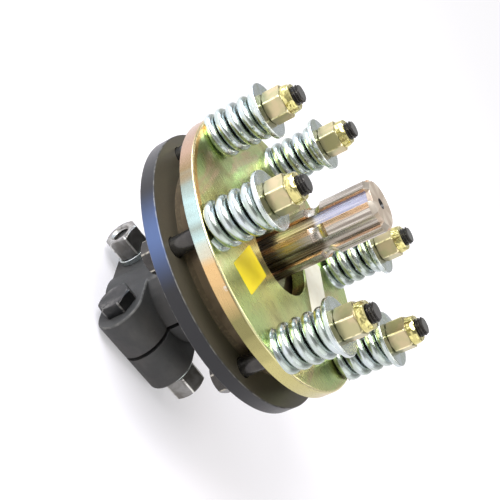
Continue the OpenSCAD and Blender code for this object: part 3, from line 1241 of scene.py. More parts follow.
@dataclass(frozen=True)
class HexBolt:
    """Hexagon bolt along Z, with its head at the low end and its thread at the high one.

    Attributes:
        flats: width of the head across flats.
        thread: thread of the bolt.
        head_z: level of the head's outer face.
        seat_z: level of the head's inner face.
        thread_z: level where the thread starts to show.
        end_z: level of the bolt's end.
        end_ease: length of the chamfer at the end.
        run_out: length of the slope between shank and thread.
        wear: wear of the thread.
    """

    flats: float
    thread: Thread
    head_z: float
    seat_z: float
    thread_z: float
    end_z: float
    end_ease: float
    run_out: float
    wear: float

    def build(self, name: str) -> bpy.types.Object:
        """Build the bolt.

        Args:
            name: name of the object.

        Returns:
            The new object.
        """
        head = Hexagon(self.flats)
        shank_r = self.thread.outer_r
        rings = head.chamfer(self.head_z, True) + [head.ring(self.seat_z)]
        wear = [head.wear] * len(rings) + [0.0, 0.0]
        rings += [head.circle(shank_r, level) for level in (self.seat_z, self.thread_z - self.run_out)]
        for level in self.thread.levels(self.thread_z, self.end_z):
            limit = shank_r - max(0.0, level - self.end_z + self.end_ease)
            rings.append(head.circle(np.minimum(self.thread.radii(head.angles, level), limit), level))
            wear.append(self.wear)
        return stack(name, rings, wear, False)


class NodeTree:
    """Geometry tree with named inputs, used once on each piece that it makes."""

    SOCKETS = {float: "NodeSocketFloat", int: "NodeSocketInt", "material": "NodeSocketMaterial"}

    def __init__(self, name: str, inputs: Sequence[tuple[str, object]]) -> None:
        """Start a tree.

        Args:
            name: name of the tree.
            inputs: name and kind of each input after the geometry.
        """
        self.tree = bpy.data.node_groups.new(name, "GeometryNodeTree")
        self.tree.interface.new_socket("Geometry", in_out="INPUT", socket_type="NodeSocketGeometry")
        for label, kind in inputs:
            self.tree.interface.new_socket(label, in_out="INPUT", socket_type=self.SOCKETS[kind])
        self.tree.interface.new_socket("Geometry", in_out="OUTPUT", socket_type="NodeSocketGeometry")
        self.graph = Graph(self.tree)
        self.given = self.graph.add("NodeGroupInput").outputs

    def finish(self, geometry: Socket) -> None:
        """Realize the geometry, set its material and send it out.

        Args:
            geometry: the geometry that the tree has made.
        """
        real = self.graph.add("GeometryNodeRealizeInstances", {0: geometry}).outputs[0]
        inputs = {"Geometry": real, "Material": self.given["Material"]}
        dressed = self.graph.add("GeometryNodeSetMaterial", inputs)
        self.graph.add("NodeGroupOutput", {0: dressed.outputs[0]})

    def apply(self, piece: bpy.types.Object, values: dict) -> None:
        """Run the tree on a piece and keep the result as its plain mesh.

        Args:
            piece: the piece whose mesh goes in and is replaced.
            values: value of each input by name.
        """
        modifier = piece.modifiers.new(self.tree.name, "NODES")
        modifier.node_group = self.tree
        for item in self.tree.interface.items_tree:
            if item.in_out == "INPUT" and item.name in values:
                modifier[item.identifier] = values[item.name]
        settle(piece)


def ring_tree() -> NodeTree:
    """Build the tree that sets copies of a piece round a circle, each turned to face outwards.

    Returns:
        The tree.
    """
    made = NodeTree(
        "copies_round_circle",
        [("Count", int), ("Diameter", float), ("Start", float), ("Twist", float), ("Material", "material")],
    )
    graph, given = made.graph, made.given
    index = graph.add("GeometryNodeInputIndex").outputs[0]
    step = graph.math("DIVIDE", 2 * math.pi, given["Count"])
    turn = graph.math("ADD", graph.times(index, step), given["Start"])
    spot = graph.polar(graph.times(given["Diameter"], 0.5), turn)
    spots = graph.add("GeometryNodePoints", {"Count": given["Count"], "Position": spot}).outputs[0]
    twisted = graph.math("ADD", turn, graph.times(index, given["Twist"]))
    facing = graph.add("ShaderNodeCombineXYZ", {"Z": twisted}).outputs[0]
    single = graph.add("GeometryNodeGeometryToInstance", {0: given["Geometry"]}).outputs[0]
    inputs = {"Points": spots, "Instance": single, "Rotation": facing}
    made.finish(graph.add("GeometryNodeInstanceOnPoints", inputs).outputs[0])
    return made


def coil_tree() -> NodeTree:
    """Build the tree that winds a wire into a coil with a closed turn at each end.

    Returns:
        The tree.
    """
    made = NodeTree(
        "closed_end_coil",
        [
            ("Working Turns", float), ("Coil Radius", float), ("Wire Radius", float),
            ("Closed Pitch", float), ("Working Pitch", float), ("Drop", float),
            ("Points", int), ("Wire Sides", int), ("Material", "material"),
        ],
    )
    graph, given = made.graph, made.given
    line = graph.add("GeometryNodeCurvePrimitiveLine").outputs[0]
    wire = graph.add("GeometryNodeResampleCurve", {"Curve": line, "Count": given["Points"]}).outputs[0]
    along = graph.add("GeometryNodeSplineParameter").outputs["Factor"]
    turns = graph.times(along, graph.math("ADD", given["Working Turns"], 2.0))
    first = graph.math("MINIMUM", turns, 1.0)
    after = graph.math("SUBTRACT", turns, first)
    open_turns = graph.math("MINIMUM", given["Working Turns"], after)
    last = graph.math("SUBTRACT", after, open_turns)
    closed = graph.times(graph.math("ADD", first, last), given["Closed Pitch"])
    rise = graph.math("ADD", closed, graph.times(open_turns, given["Working Pitch"]))
    level = graph.math("SUBTRACT", rise, given["Drop"])
    spot = graph.polar(given["Coil Radius"], graph.times(turns, 2 * math.pi), level)
    wound = graph.add("GeometryNodeSetPosition", {"Geometry": wire, "Position": spot}).outputs[0]
    upright = graph.add("GeometryNodeSetCurveNormal", {"Curve": wound}, mode="Z_UP").outputs[0]
    inputs = {"Resolution": given["Wire Sides"], "Radius": given["Wire Radius"]}
    section = graph.add("GeometryNodeCurvePrimitiveCircle", inputs).outputs[0]
    inputs = {"Curve": upright, "Profile Curve": section, "Fill Caps": True}
    made.finish(graph.add("GeometryNodeCurveToMesh", inputs).outputs[0])
    return made


@dataclass(frozen=True)
class Circle:
    """Circle about the main axis that copies of a piece are set on.

    Attributes:
        copies: the tree that sets them.
        count: number of copies.
        diameter: diameter of the circle.
        start: angle of the first copy.
    """

    copies: NodeTree
    count: int
    diameter: float
    start: float = 0.0

    def fill(self, piece: bpy.types.Object, finish: Finish | None = None, twist: float = 0.0) -> None:
        """Set copies of a piece on the circle.

        Args:
            piece: the piece that becomes all its copies.
            finish: finish of the copies, where they have one.
            twist: turn of each copy about its own axis, past that of the one before.
        """
        values = {"Count": self.count, "Diameter": self.diameter, "Start": self.start, "Twist": twist}
        if finish:
            values["Material"] = finish.material()
        self.copies.apply(piece, values)


def spline_outline(
    major_r: float, minor_r: float, tooth_w: float, turn: float,
) -> tuple[np.ndarray, np.ndarray]:
    """Work out the polar outline of a straight-sided spline with eased tooth edges.

    Args:
        major_r: radius over the teeth.
        minor_r: radius of the root.
        tooth_w: width of a tooth.
        turn: angle of the first tooth.

    Returns:
        Angles and radii of the outline's points.
    """
    half = tooth_w / 2
    flank = np.linspace(minor_r, major_r - SPLINE_EASE, 4)
    side = list(zip(np.arcsin(half / flank), flank))
    tip = math.asin((half - SPLINE_EASE) / major_r)
    crest = [(share * tip, major_r) for share in (1.0, 0.5, 0.0)]
    root_angle = side[0][0]
    middle = math.pi / SPLINE_TEETH
    root = [(middle + share * (root_angle - middle), minor_r) for share in (0.0, 0.35, 0.7)]
    half_tooth = root + side + crest
    tooth = [(-angle, radius) for angle, radius in half_tooth]
    tooth += [(angle, radius) for angle, radius in reversed(half_tooth[1:-1])]
    angles, radii = [], []
    for index in range(SPLINE_TEETH):
        for angle, radius in tooth:
            angles.append(turn + index * 2 * middle + angle)
            radii.append(radius)
    return np.array(angles), np.array(radii)


BRIGHT_ZINC = Metal(
    "bright_zinc", srgb(198, 207, 208), srgb(180, 190, 180), srgb(226, 231, 230),
    cloud_scale=90.0, rough=0.25, spread=0.18, mark_scale=180.0, mark_depth=0.025 * MM,
)
BLACK_OXIDE = Metal(
    "black_bolt", srgb(46, 47, 47), srgb(60, 59, 58), srgb(124, 122, 118),
    cloud_scale=120.0, rough=0.34, spread=0.14, metallic=0.8, mark_depth=0.03 * MM,
)
RUBBED_OXIDE = Metal(
    "black_bolt", srgb(72, 70, 66), srgb(60, 58, 56), srgb(178, 173, 160),
    cloud_scale=120.0, rough=0.2, spread=0.12, metallic=0.7, mark_depth=0.02 * MM, variant="_rubbed",
)
GREY_STEEL = Metal(
    "grey_steel", srgb(150, 149, 146), srgb(122, 119, 114), srgb(224, 222, 216),
    cloud_scale=120.0, rough=0.4, spread=0.2, mark_depth=0.05 * MM,
)
DULL_STEEL = Metal(
    "dull_steel", srgb(120, 104, 82), srgb(96, 82, 64), srgb(170, 150, 120),
    cloud_scale=60.0, rough=0.5, spread=0.2, metallic=0.6,
)
BRONZE = Metal(
    "bearing_bronze", srgb(170, 128, 72), srgb(140, 104, 58), srgb(214, 180, 120),
    cloud_scale=90.0, rough=0.4, spread=0.2, mark_scale=1200.0,
)
LINING = Matt("friction_lining", srgb(92, 80, 62), srgb(126, 110, 84), crease_scale=260.0)
YELLOW_VINYL = Matt(
    "yellow_vinyl", srgb(252, 228, 40), srgb(240, 208, 32), fleck_scale=120.0, fleck_share=0.35, rough=0.4,
)
WHITE_PAPER = Matt(
    "white_paper", srgb(252, 248, 232), srgb(240, 232, 210), fleck_scale=160.0, fleck_share=0.4, rough=0.6,
)


@dataclass
class Layout:
    """Places of the part's pieces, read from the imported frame.

    Attributes:
        flange_t: thickness of the flange.
        bolt_count: number of sprung bolts.
        bolt_circle_d: diameter of the circle through them.
        bolt_hole_r: radius of their holes in the flange and the plate.
    """

    flange_t: float = 10 * MM
    bolt_count: int = 6
    bolt_circle_d: float = 160 * MM
    bolt_hole_r: float = 6.5 * MM

    def __post_init__(self) -> None:
        """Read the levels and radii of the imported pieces."""
        self.flange_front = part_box("clamp_hub")[1].z
        self.flange_back = self.flange_front - self.flange_t
        self.flange_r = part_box("clamp_hub")[1].y
        self.drive_back, self.drive_front = (corner.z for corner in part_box("drive_plate"))
        self.plate_back, self.plate_front = (corner.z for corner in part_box("pressure_plate"))
        self.plate_r = min(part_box("pressure_plate")[1].xy)
        self.washer_back, self.washer_front = (corner.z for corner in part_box("spring_washers"))
        self.head_back, self.bolt_end = (corner.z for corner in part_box("spring_bolts"))
        self.nut_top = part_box("spring_nuts")[1].z
        self.journal_end, self.shaft_end = (corner.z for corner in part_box("splined_shaft"))
        low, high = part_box("clamp_washers")
        self.clamp_z = (low.z + high.z) / 2

    def bolt_holes(self, bolts: Circle) -> bpy.types.Object:
        """Make the tool that drills the flange and the plate for the sprung bolts.

        Args:
            bolts: circle of the sprung bolts.

        Returns:
            The tool.
        """
        low, high = self.flange_back - OVERCUT, self.plate_front + OVERCUT
        tool = drill("bolt_hole_tool", self.bolt_hole_r, low, high)
        bolts.fill(tool)
        return tool


def hand_over(piece: bpy.types.Object, body: Body, finish: Finish, *nodes: str) -> None:
    """Let a finished piece ride on a body in place of the nodes that it stands for.

    Args:
        piece: the finished piece.
        body: the body that it rides on.
        finish: the finish that it has; not used.
        nodes: the nodes that it stands for.
    """
    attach(piece, body.value)
    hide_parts(*nodes)
    log.info("%s rides on %s with %d faces", piece.name, body.value, len(piece.data.polygons))


def dress(finish: Finish, *nodes: str) -> None:
    """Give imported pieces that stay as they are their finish.

    Args:
        finish: the finish that they get.
        nodes: their names.
    """
    for name in nodes:
        coat(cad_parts[name].data, finish)
        log.info("%s keeps its own mesh", name)


@dataclass
class ClampHub:
    """Hub with flange, neck and split clamp block, and the bolts that close it."""

    layout: Layout
    bolts: Circle
    neck_r: float = 30 * MM
    fillet: float = 6 * MM
    fillet_points: int = 9
    flange_round: float = 0.9 * MM
    block_end_r: float = 17 * MM
    block_end_offset: float = 31 * MM
    block_end_points: int = 25
    block_depth: float = 57 * MM
    block_round: float = 1.6 * MM
    block_round_points: int = 6
    slit_w: float = 2.5 * MM
    slit_stop: float = 8 * MM
    angle: float = math.radians(19)
    bolt_count: int = 2
    bolt_offset: float = 28 * MM
    bolt_r: float = 7 * MM
    bolt_ease: float = 1.2 * MM
    pitch: float = 2 * MM
    thread_length: float = 8 * MM
    thread_wear: float = 0.4
    flats: float = 22 * MM
    head_h: float = 8 * MM
    head_gap: float = 0.3 * MM
    nut_h: float = 15 * MM
    nut_mouth: float = 0.7 * MM
    nut_mouth_wear: float = 0.5
    nut_thread_wear: float = 0.2
    nut_run_out: float = 0.2 * MM
    washer_r: float = 12.5 * MM
    washer_t: float = 4 * MM
    washer_edge: float = 0.7 * MM
    sunk: float = 3 * MM
    bore_room: float = 0.05 * MM
    hole_room: float = 0.5 * MM
    spline_major_r: float = 17.55 * MM
    spline_minor_r: float = 14.85 * MM
    tooth_space: float = 8.9 * MM
    spline_turn: float = math.radians(19)
    relief_r: float = 18.4 * MM
    relief_length: float = 8 * MM
    bush_seat_r: float = 21.07 * MM
    bush_length: float = 16 * MM

    def __post_init__(self) -> None:
        """Work out the frame of a clamp bolt: its own Z runs along the tangent, from head to nut."""
        turn = Matrix(((0, -1, 0), (0, 0, 1), (-1, 0, 0))).to_4x4()
        self.bolt_frame = Matrix.Translation((0, 0, self.layout.clamp_z)) @ turn
        self.half = self.block_depth / 2
        start = self.angle - math.pi / 2
        self.clamps = Circle(self.bolts.copies, self.bolt_count, 2 * self.bolt_offset, start)

    def build(self) -> None:
        """Build and dress the hub and its clamp bolts, washers and nuts."""
        place = self.layout
        half_t = place.flange_t / 2
        finish = BlackCasting(
            "black_casting", place.flange_r, place.flange_back + half_t, half_t, self.angle, self.half
        )
        hub = self.turning()
        carve(hub, [self.block()], "UNION")
        carve(hub, self.cutters())
        coat(hub.data, finish)
        smooth(hub)
        hand_over(hub, Body.HUB, finish, "clamp_hub")
        for name, piece, dressing in (
            ("clamp_bolts", self.bolt(), BLACK_OXIDE),
            ("clamp_washers", self.washer(), BRIGHT_ZINC),
            ("clamp_nuts", self.nut(), GREY_STEEL),
        ):
            piece.data.transform(self.bolt_frame)
            self.clamps.fill(piece, dressing)
            smooth(piece)
            hand_over(piece, Body.HUB, dressing, name)

    def turning(self) -> bpy.types.Object:
        """Turn the flange and neck as one.

        Returns:
            The turned body.
        """
        place = self.layout
        arc_r, arc_z = self.neck_r + self.fillet, place.flange_back - self.fillet
        arc = [
            (arc_r - self.fillet * math.cos(turn), arc_z + self.fillet * math.sin(turn), 0.0)
            for turn in np.linspace(0, math.pi / 2, self.fillet_points)
        ]
        corners = [
            (self.neck_r, 0.0, 0.0),
            *arc,
            (place.flange_r, place.flange_back, self.flange_round),
            (place.flange_r, place.flange_front, self.flange_round),
            (self.bush_seat_r / 2, place.flange_front, 0.0),
        ]
        return turned("clamp_hub_body", corners, False)

    def block(self) -> bpy.types.Object:
        """Loft the clamp block through its rounded outline, along its bolts.

        Returns:
            The block, in its place.
        """
        half_turn = np.linspace(-math.pi / 2, math.pi / 2, self.block_end_points)
        stations = []
        for turn in np.linspace(0, math.pi / 2, self.block_round_points):
            depth = self.block_round * (1 - math.cos(turn))
            stations.append((depth - self.half, self.block_round * (1 - math.sin(turn))))
        stations += [(-along, inset) for along, inset in reversed(stations)]
        rings = []
        for along, inset in stations:
            reach = self.block_end_r - inset
            across = self.block_end_offset + reach * np.cos(half_turn)
            right = np.column_stack((across, reach * np.sin(half_turn)))
            outline = np.concatenate((right, -right))
            rings.append(np.column_stack((np.full(len(outline), along), outline)))
        block = stack("clamp_block", rings, [0.0] * len(rings), False)
        raised = Matrix.Translation((0, 0, self.layout.clamp_z))
        block.data.transform(Matrix.Rotation(self.angle, 4, "Z") @ raised)
        return block

    def cutters(self) -> list[bpy.types.Object]:
        """Make the tools for the bore, relief, bush seat, slit and bolt holes.

        Returns:
            The tools, in their places.
        """
        place = self.layout
        bush_z = place.flange_front - self.bush_length
        relief_z = bush_z - self.relief_length
        angles, radii = spline_outline(
            self.spline_major_r, self.spline_minor_r, self.tooth_space, self.spline_turn
        )
        ends = [ring(radii, level, angles) for level in (-OVERCUT, relief_z + OVERCUT)]
        bore = stack("bore_tool", ends, [0.0, 0.0], False)
        relief = drill("relief_tool", self.relief_r, relief_z, bush_z + OVERCUT)
        seat = drill("seat_tool", self.bush_seat_r, bush_z, place.flange_front + OVERCUT)
        slit = self.slit()
        reach = self.half + OVERCUT
        holes = drill("clamp_hole_tool", self.bolt_r + self.hole_room, -reach, reach)
        holes.data.transform(self.bolt_frame)
        self.clamps.fill(holes)
        return [bore, relief, seat, slit, holes, place.bolt_holes(self.bolts)]

    def slit(self) -> bpy.types.Object:
        """Make the tool for the slit that lets the clamp block close.

        Returns:
            The tool, in its place.
        """
        reach = self.block_end_offset + self.block_end_r + OVERCUT
        top = self.layout.flange_back - self.slit_stop
        scale = Matrix.Diagonal((self.slit_w, 2 * reach, top + OVERCUT, 1.0))
        middle = Matrix.Translation((0, 0, (top - OVERCUT) / 2))
        spun = Matrix.Rotation(self.angle, 4, "Z")
        mesh = bpy.data.meshes.new("slit_tool")
        with edited(mesh) as shape:
            bmesh.ops.create_cube(shape, size=1.0)
            bmesh.ops.transform(shape, matrix=spun @ middle @ scale, verts=shape.verts)
        return new_object("slit_tool", mesh)

    def bolt(self) -> bpy.types.Object:
        """Build one clamp bolt about its own axis.

        Returns:
            The bolt.
        """
        end = self.half + self.washer_t + self.nut_h - self.sunk
        bolt = HexBolt(
            flats=self.flats, thread=Thread(self.bolt_r, self.pitch), head_z=-self.half - self.head_h,
            seat_z=-self.half - self.head_gap, thread_z=end - self.thread_length, end_z=end,
            end_ease=self.bolt_ease, run_out=0.0, wear=self.thread_wear,
        )
        return bolt.build("clamp_bolt_set")

    def washer(self) -> bpy.types.Object:
        """Turn one clamp washer about its own axis."""
        bore, levels = self.bolt_r + self.bore_room, (self.half, self.half + self.washer_t)
        return washer("clamp_washer_set", bore, self.washer_r, levels, self.washer_edge)

    def nut(self) -> bpy.types.Object:
        """Build one clamp nut about its own axis, with thread showing above the sunk bolt.

        Returns:
            The nut.
        """
        shape = Hexagon(self.flats)
        thread = Thread(self.bolt_r, self.pitch)
        low = self.half + self.washer_t
        high = low + self.nut_h
        bolt_z = high - self.sunk
        bore = self.bolt_r + self.bore_room
        rings, wear = shape.nut_sides(bore, low, high)
        rings.append(shape.circle(bore + self.nut_mouth, high))
        wear.append(self.nut_mouth_wear)
        for level in reversed(thread.levels(bolt_z, high - self.nut_mouth)):
            radii = np.minimum(thread.radii(shape.angles, level) + self.bore_room, bore)
            rings.append(shape.circle(radii, level))
            wear.append(self.nut_thread_wear)
        rings.append(shape.circle(bore, bolt_z - self.nut_run_out))
        wear.append(0.0)
        return stack("clamp_nut_set", rings, wear, True)


@dataclass
class SplinedStub:
    """Splined shaft with its locking groove, shoulder, weld and pilot journal."""

    layout: Layout
    major_r: float = 17.4 * MM
    minor_r: float = 14.7 * MM
    tooth_w: float = 8.6 * MM
    tooth_gap: float = 0.01 * MM
    turn: float = math.radians(19)
    chamfer: float = 2.8 * MM
    chamfer_shares: tuple[float, ...] = (0.0, 0.5, 0.9, 1.0)
    end_ease: float = 0.15 * MM
    groove_from_end: float = 38 * MM
    groove_r: float = 6.8 * MM
    groove_floor_r: float = 14.7 * MM
    groove_points: int = 15
    shoulder_r: float = 22 * MM
    lip: float = 3 * MM
    lip_inset: float = 0.6 * MM
    weld_leg: float = 3 * MM
    weld_bulge: float = 0.5 * MM
    weld_points: int = 6
    ripple_count: int = 23
    ripple_depth: float = 0.12 * MM
    journal_r: float = 17 * MM
    journal_chamfer: float = 1 * MM
    hole_r: float = 3.5 * MM
    hole_tip_r: float = 0.3 * MM
    hole_depth: float = 8 * MM
    wear_depth: float = 0.5 * MM
    wear_fade: float = 0.4 * MM
    crest_wear: float = 0.25
    cut_wear: float = 0.7
    sharp_angle: float = math.radians(24)

    def build(self) -> None:
        """Loft the stub from the journal to its free end and dress it."""
        place = self.layout
        angles, outline = spline_outline(self.major_r, self.minor_r, self.tooth_w, self.turn)
        rings, wear = [], []

        def lay(radii: np.ndarray | float, level: float, worn: np.ndarray | float = 0.0) -> None:
            """Add one ring with its wear."""
            rings.append(ring(radii, level, angles))
            wear.append(worn)

        lay(self.journal_r - self.journal_chamfer, place.journal_end)
        lay(self.journal_r, place.journal_end + self.journal_chamfer)
        lay(self.journal_r, place.drive_back)
        lay(self.shoulder_r, place.drive_back)
        lay(self.shoulder_r, place.drive_front)
        ripple = self.ripple_depth * np.sin(self.ripple_count * angles)
        for share in np.linspace(0, 1, self.weld_points):
            leg = self.weld_leg * (1 - share) + self.weld_bulge * math.sin(math.pi * share)
            lay(self.shoulder_r + leg + ripple, place.drive_front + self.weld_leg * share)
        root_z = place.drive_front + self.lip
        lay(self.shoulder_r - self.lip_inset, root_z)
        lay(outline, root_z)
        teeth = np.clip((outline - self.major_r + self.wear_depth) / self.wear_fade, 0, 1)
        for level, limit in self.limits():
            worn = self.crest_wear if limit >= self.major_r else self.cut_wear
            lay(np.minimum(outline, limit), level, teeth * worn)
        lay(self.hole_r, place.shaft_end)
        lay(self.hole_tip_r, place.shaft_end - self.hole_depth)
        finish = SplineSteel(
            "machined_steel", root_r=self.minor_r, tip_r=self.major_r, end_z=place.shaft_end,
            chamfer=self.chamfer, hole_r=self.hole_r, weld_z=root_z,
            groove_z=place.shaft_end - self.groove_from_end,
        )
        shaft = stack("splined_stub", rings, wear, False)
        coat(shaft.data, finish)
        smooth(shaft, self.sharp_angle)
        hand_over(shaft, Body.SHAFT, finish, "splined_shaft")

    def limits(self) -> list[tuple[float, float]]:
        """Give the levels along the spline and what the groove and the chamfer leave there.

        Returns:
            Each level with the largest radius at it, in rising order.
        """
        place = self.layout
        groove_z = place.shaft_end - self.groove_from_end
        middle_r = self.groove_floor_r + self.groove_r
        mouth = math.acos((middle_r - self.major_r) / self.groove_r)
        levels = [(place.drive_front + self.lip + self.tooth_gap, self.major_r)]
        for turn in np.linspace(-mouth, mouth, self.groove_points):
            left = middle_r - self.groove_r * math.cos(turn)
            levels.append((groove_z + self.groove_r * math.sin(turn), left))
        for share in self.chamfer_shares:
            level = place.shaft_end - self.chamfer * (1 - share)
            levels.append((level, self.major_r - self.chamfer * share))
        levels.append((place.shaft_end, self.major_r - self.chamfer - self.end_ease))
        return levels


@dataclass
class PressurePlate:
    """Plated pressure plate with its window and labels."""

    layout: Layout
    bolts: Circle
    window_r: float = 30 * MM
    front_round: float = 1.7 * MM
    back_round: float = 0.6 * MM
    window_round: float = 0.7 * MM

    def build(self) -> None:
        """Turn and drill the plate, and dress it and its labels."""
        place = self.layout
        finish = YellowZinc("yellow_zinc", place.plate_r, place.plate_front)
        plate = turned("pressure_plate_disc", [
            (self.window_r, place.plate_back, self.back_round),
            (place.plate_r, place.plate_back, self.back_round),
            (place.plate_r, place.plate_front, self.front_round),
            (self.window_r, place.plate_front, self.window_round),
        ], True)
        carve(plate, [place.bolt_holes(self.bolts)])
        coat(plate.data, finish)
        smooth(plate)
        hand_over(plate, Body.PLATE, finish, "pressure_plate")
        dress(YELLOW_VINYL, "yellow_label")
        dress(WHITE_PAPER, "white_label")


@dataclass
class SpringSet:
    """Six sprung bolts: coil springs, washers, lock nuts and bolts."""

    layout: Layout
    bolts: Circle
    spring_d: float = 30 * MM
    wire_d: float = 7 * MM
    coil_gap: float = 1.1 * MM
    closed_gap: float = 0.15 * MM
    ground_share: float = 0.75
    phase: float = math.radians(195)
    start: float = math.radians(345)
    coil_points: int = 380
    wire_sides: int = 24
    coil_sharp_angle: float = math.radians(40)
    lift: float = 3 * MM
    washer_r: float = 18 * MM
    washer_edge: float = 0.8 * MM
    bolt_r: float = 6 * MM
    bolt_ease: float = 1.0 * MM
    bolt_run_out: float = 0.2 * MM
    pitch: float = 1.75 * MM
    hidden_thread: float = 2 * MM
    flats: float = 19 * MM
    nut_h: float = 12.5 * MM
    collar_inset: float = 0.3 * MM
    collar_top_r: float = 8.5 * MM
    collar_foot: float = 0.06
    collar_points: int = 11
    collar_ease: float = 0.5 * MM
    collar_wall: float = 0.3 * MM
    collar_wear: float = 0.3
    collar_wear_from: float = 0.9
    crimp_count: int = 3
    crimp_depth: float = 0.8 * MM
    bore_room: float = 0.05 * MM

    def build(self) -> None:
        """Build the springs, washers, nuts and bolts, and dress them."""
        place = self.layout
        springs = self.springs()
        names = [f"spring_{index + 1}" for index in range(place.bolt_count)]
        hand_over(springs, Body.HUB, BRIGHT_ZINC, *names)
        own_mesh(springs)
        nut_finish = LockNutZinc("olive_zinc", place.washer_front + self.nut_h)
        for piece, finish, node in (
            (self.washer(), BRIGHT_ZINC, "spring_washers"),
            (self.nut(), nut_finish, "spring_nuts"),
            (self.bolt(), RUBBED_OXIDE, "spring_bolts"),
        ):
            self.bolts.fill(piece, finish)
            smooth(piece)
            hand_over(piece, Body.HUB, finish, node)

    def springs(self) -> bpy.types.Object:
        """Wind one spring, grind its ends flat and set six of them.

        Returns:
            The six springs as one object.
        """
        place = self.layout
        length = place.washer_back - place.plate_front
        closed = self.wire_d + self.closed_gap
        working = self.wire_d + self.coil_gap
        drop = (self.ground_share - 0.5) * self.wire_d
        turns = (length + 2 * drop - 2 * closed) / working
        springs = new_object("coil_springs", bpy.data.meshes.new("coil_springs"))
        coil_tree().apply(springs, {
            "Working Turns": turns, "Coil Radius": (self.spring_d - self.wire_d) / 2,
            "Wire Radius": self.wire_d / 2, "Closed Pitch": closed, "Working Pitch": working, "Drop": drop,
            "Points": self.coil_points, "Wire Sides": self.wire_sides, "Material": BRIGHT_ZINC.material(),
        })
        with edited(springs.data) as shape:
            for level, direction in ((0.0, -1), (length, 1)):
                parts = [*shape.verts, *shape.edges, *shape.faces]
                bmesh.ops.bisect_plane(
                    shape, geom=parts, plane_co=(0, 0, level), plane_no=(0, 0, direction), clear_outer=True
                )
            rims = [edge for edge in shape.edges if edge.is_boundary]
            bmesh.ops.holes_fill(shape, edges=rims, sides=0)
            bmesh.ops.recalc_face_normals(shape, faces=shape.faces)
        raised = Matrix.Translation((0, 0, place.plate_front))
        springs.data.transform(raised @ Matrix.Rotation(self.start, 4, "Z"))
        self.bolts.fill(springs, BRIGHT_ZINC, self.phase)
        springs.data.shade_smooth()
        springs.data.set_sharp_from_angle(angle=self.coil_sharp_angle)
        return springs

    def washer(self) -> bpy.types.Object:
        """Turn one spring washer with eased edges."""
        bore, levels = self.bolt_r + self.bore_room, (self.layout.washer_back, self.layout.washer_front)
        return washer("spring_washer_set", bore, self.washer_r, levels, self.washer_edge)

    def nut(self) -> bpy.types.Object:
        """Build one lock nut with its crimped collar.

        Returns:
            The nut.
        """
        shape = Hexagon(self.flats)
        low, top = self.layout.washer_front, self.layout.nut_top
        hex_top = low + self.nut_h
        bore = self.bolt_r + self.bore_room
        collar_r = shape.flat_r - self.collar_inset
        collar_h = top - hex_top
        rings, wear = shape.nut_sides(bore, low, hex_top)
        crimp_r = collar_h / 2
        middle = self.collar_top_r + crimp_r - self.crimp_depth
        sector = 2 * math.pi / self.crimp_count
        off = np.mod(shape.angles + sector / 2, sector) - sector / 2
        for share in np.linspace(self.collar_foot, 1, self.collar_points):
            level = hex_top + collar_h * share
            cone = collar_r + (self.collar_top_r - collar_r) * share
            below = min(crimp_r, top - level)
            notch = (middle - math.sqrt(crimp_r**2 - below**2)) / np.cos(off)
            eased = cone - (self.collar_ease if share == 1 else 0.0)
            radii = np.maximum(np.minimum(eased, notch), bore + self.collar_wall)
            rings.append(shape.circle(radii, level))
            wear.append(self.collar_wear * (share > self.collar_wear_from))
        rings += [shape.circle(bore, top), shape.circle(bore, (low + top) / 2)]
        wear += [0.0, 0.0]
        return stack("spring_nut_set", rings, wear, True)

    def bolt(self) -> bpy.types.Object:
        """Build one bolt with its head behind the flange and its thread beyond the nut.

        Returns:
            The bolt.
        """
        place = self.layout
        bolt = HexBolt(
            flats=self.flats, thread=Thread(self.bolt_r, self.pitch), head_z=place.head_back,
            seat_z=place.flange_back, thread_z=place.nut_top - self.hidden_thread, end_z=place.bolt_end,
            end_ease=self.bolt_ease, run_out=self.bolt_run_out, wear=0.0,
        )
        return bolt.build("spring_bolt_set")


@dataclass(frozen=True)
class Lamp:
    """Soft box that faces the part.

    Attributes:
        name: name of the lamp.
        spot: place of the lamp, in metres.
        size: width and height of the lamp.
        power: power in watts.
        tint: colour of the light.
    """

    name: str
    spot: tuple[float, float, float]
    size: tuple[float, float]
    power: float
    tint: tuple[float, float, float] = (1.0, 1.0, 1.0)

    def build(self, aim: Vector) -> None:
        """Add the lamp to the scene.

        Args:
            aim: the point that the lamp is turned to.
        """
        data = bpy.data.lights.new(self.name, "AREA")
        data.shape = "RECTANGLE"
        data.size, data.size_y = self.size
        data.energy = self.power
        data.color = self.tint
        made = bpy.data.objects.new(self.name, data)
        back = (Vector(self.spot) - aim).normalized()
        made.matrix_world = Matrix.Translation(self.spot) @ back.to_track_quat("Z", "Y").to_matrix().to_4x4()
        bpy.context.scene.collection.objects.link(made)


LAMPS = (
    Lamp("key_light", (-0.75, -0.4, 0.75), (0.7, 0.7), 17.0),
    Lamp("window_light", (-0.75, 0.1, 0.25), (0.45, 0.3), 2.2, (0.66, 0.8, 1.0)),
    Lamp("back_light", (0.3, 0.6, 1.0), (0.8, 0.6), 4.0, (1.0, 0.96, 0.9)),
    Lamp("fill_light", (0.7, -0.6, 0.5), (1.0, 0.8), 2.4),
)


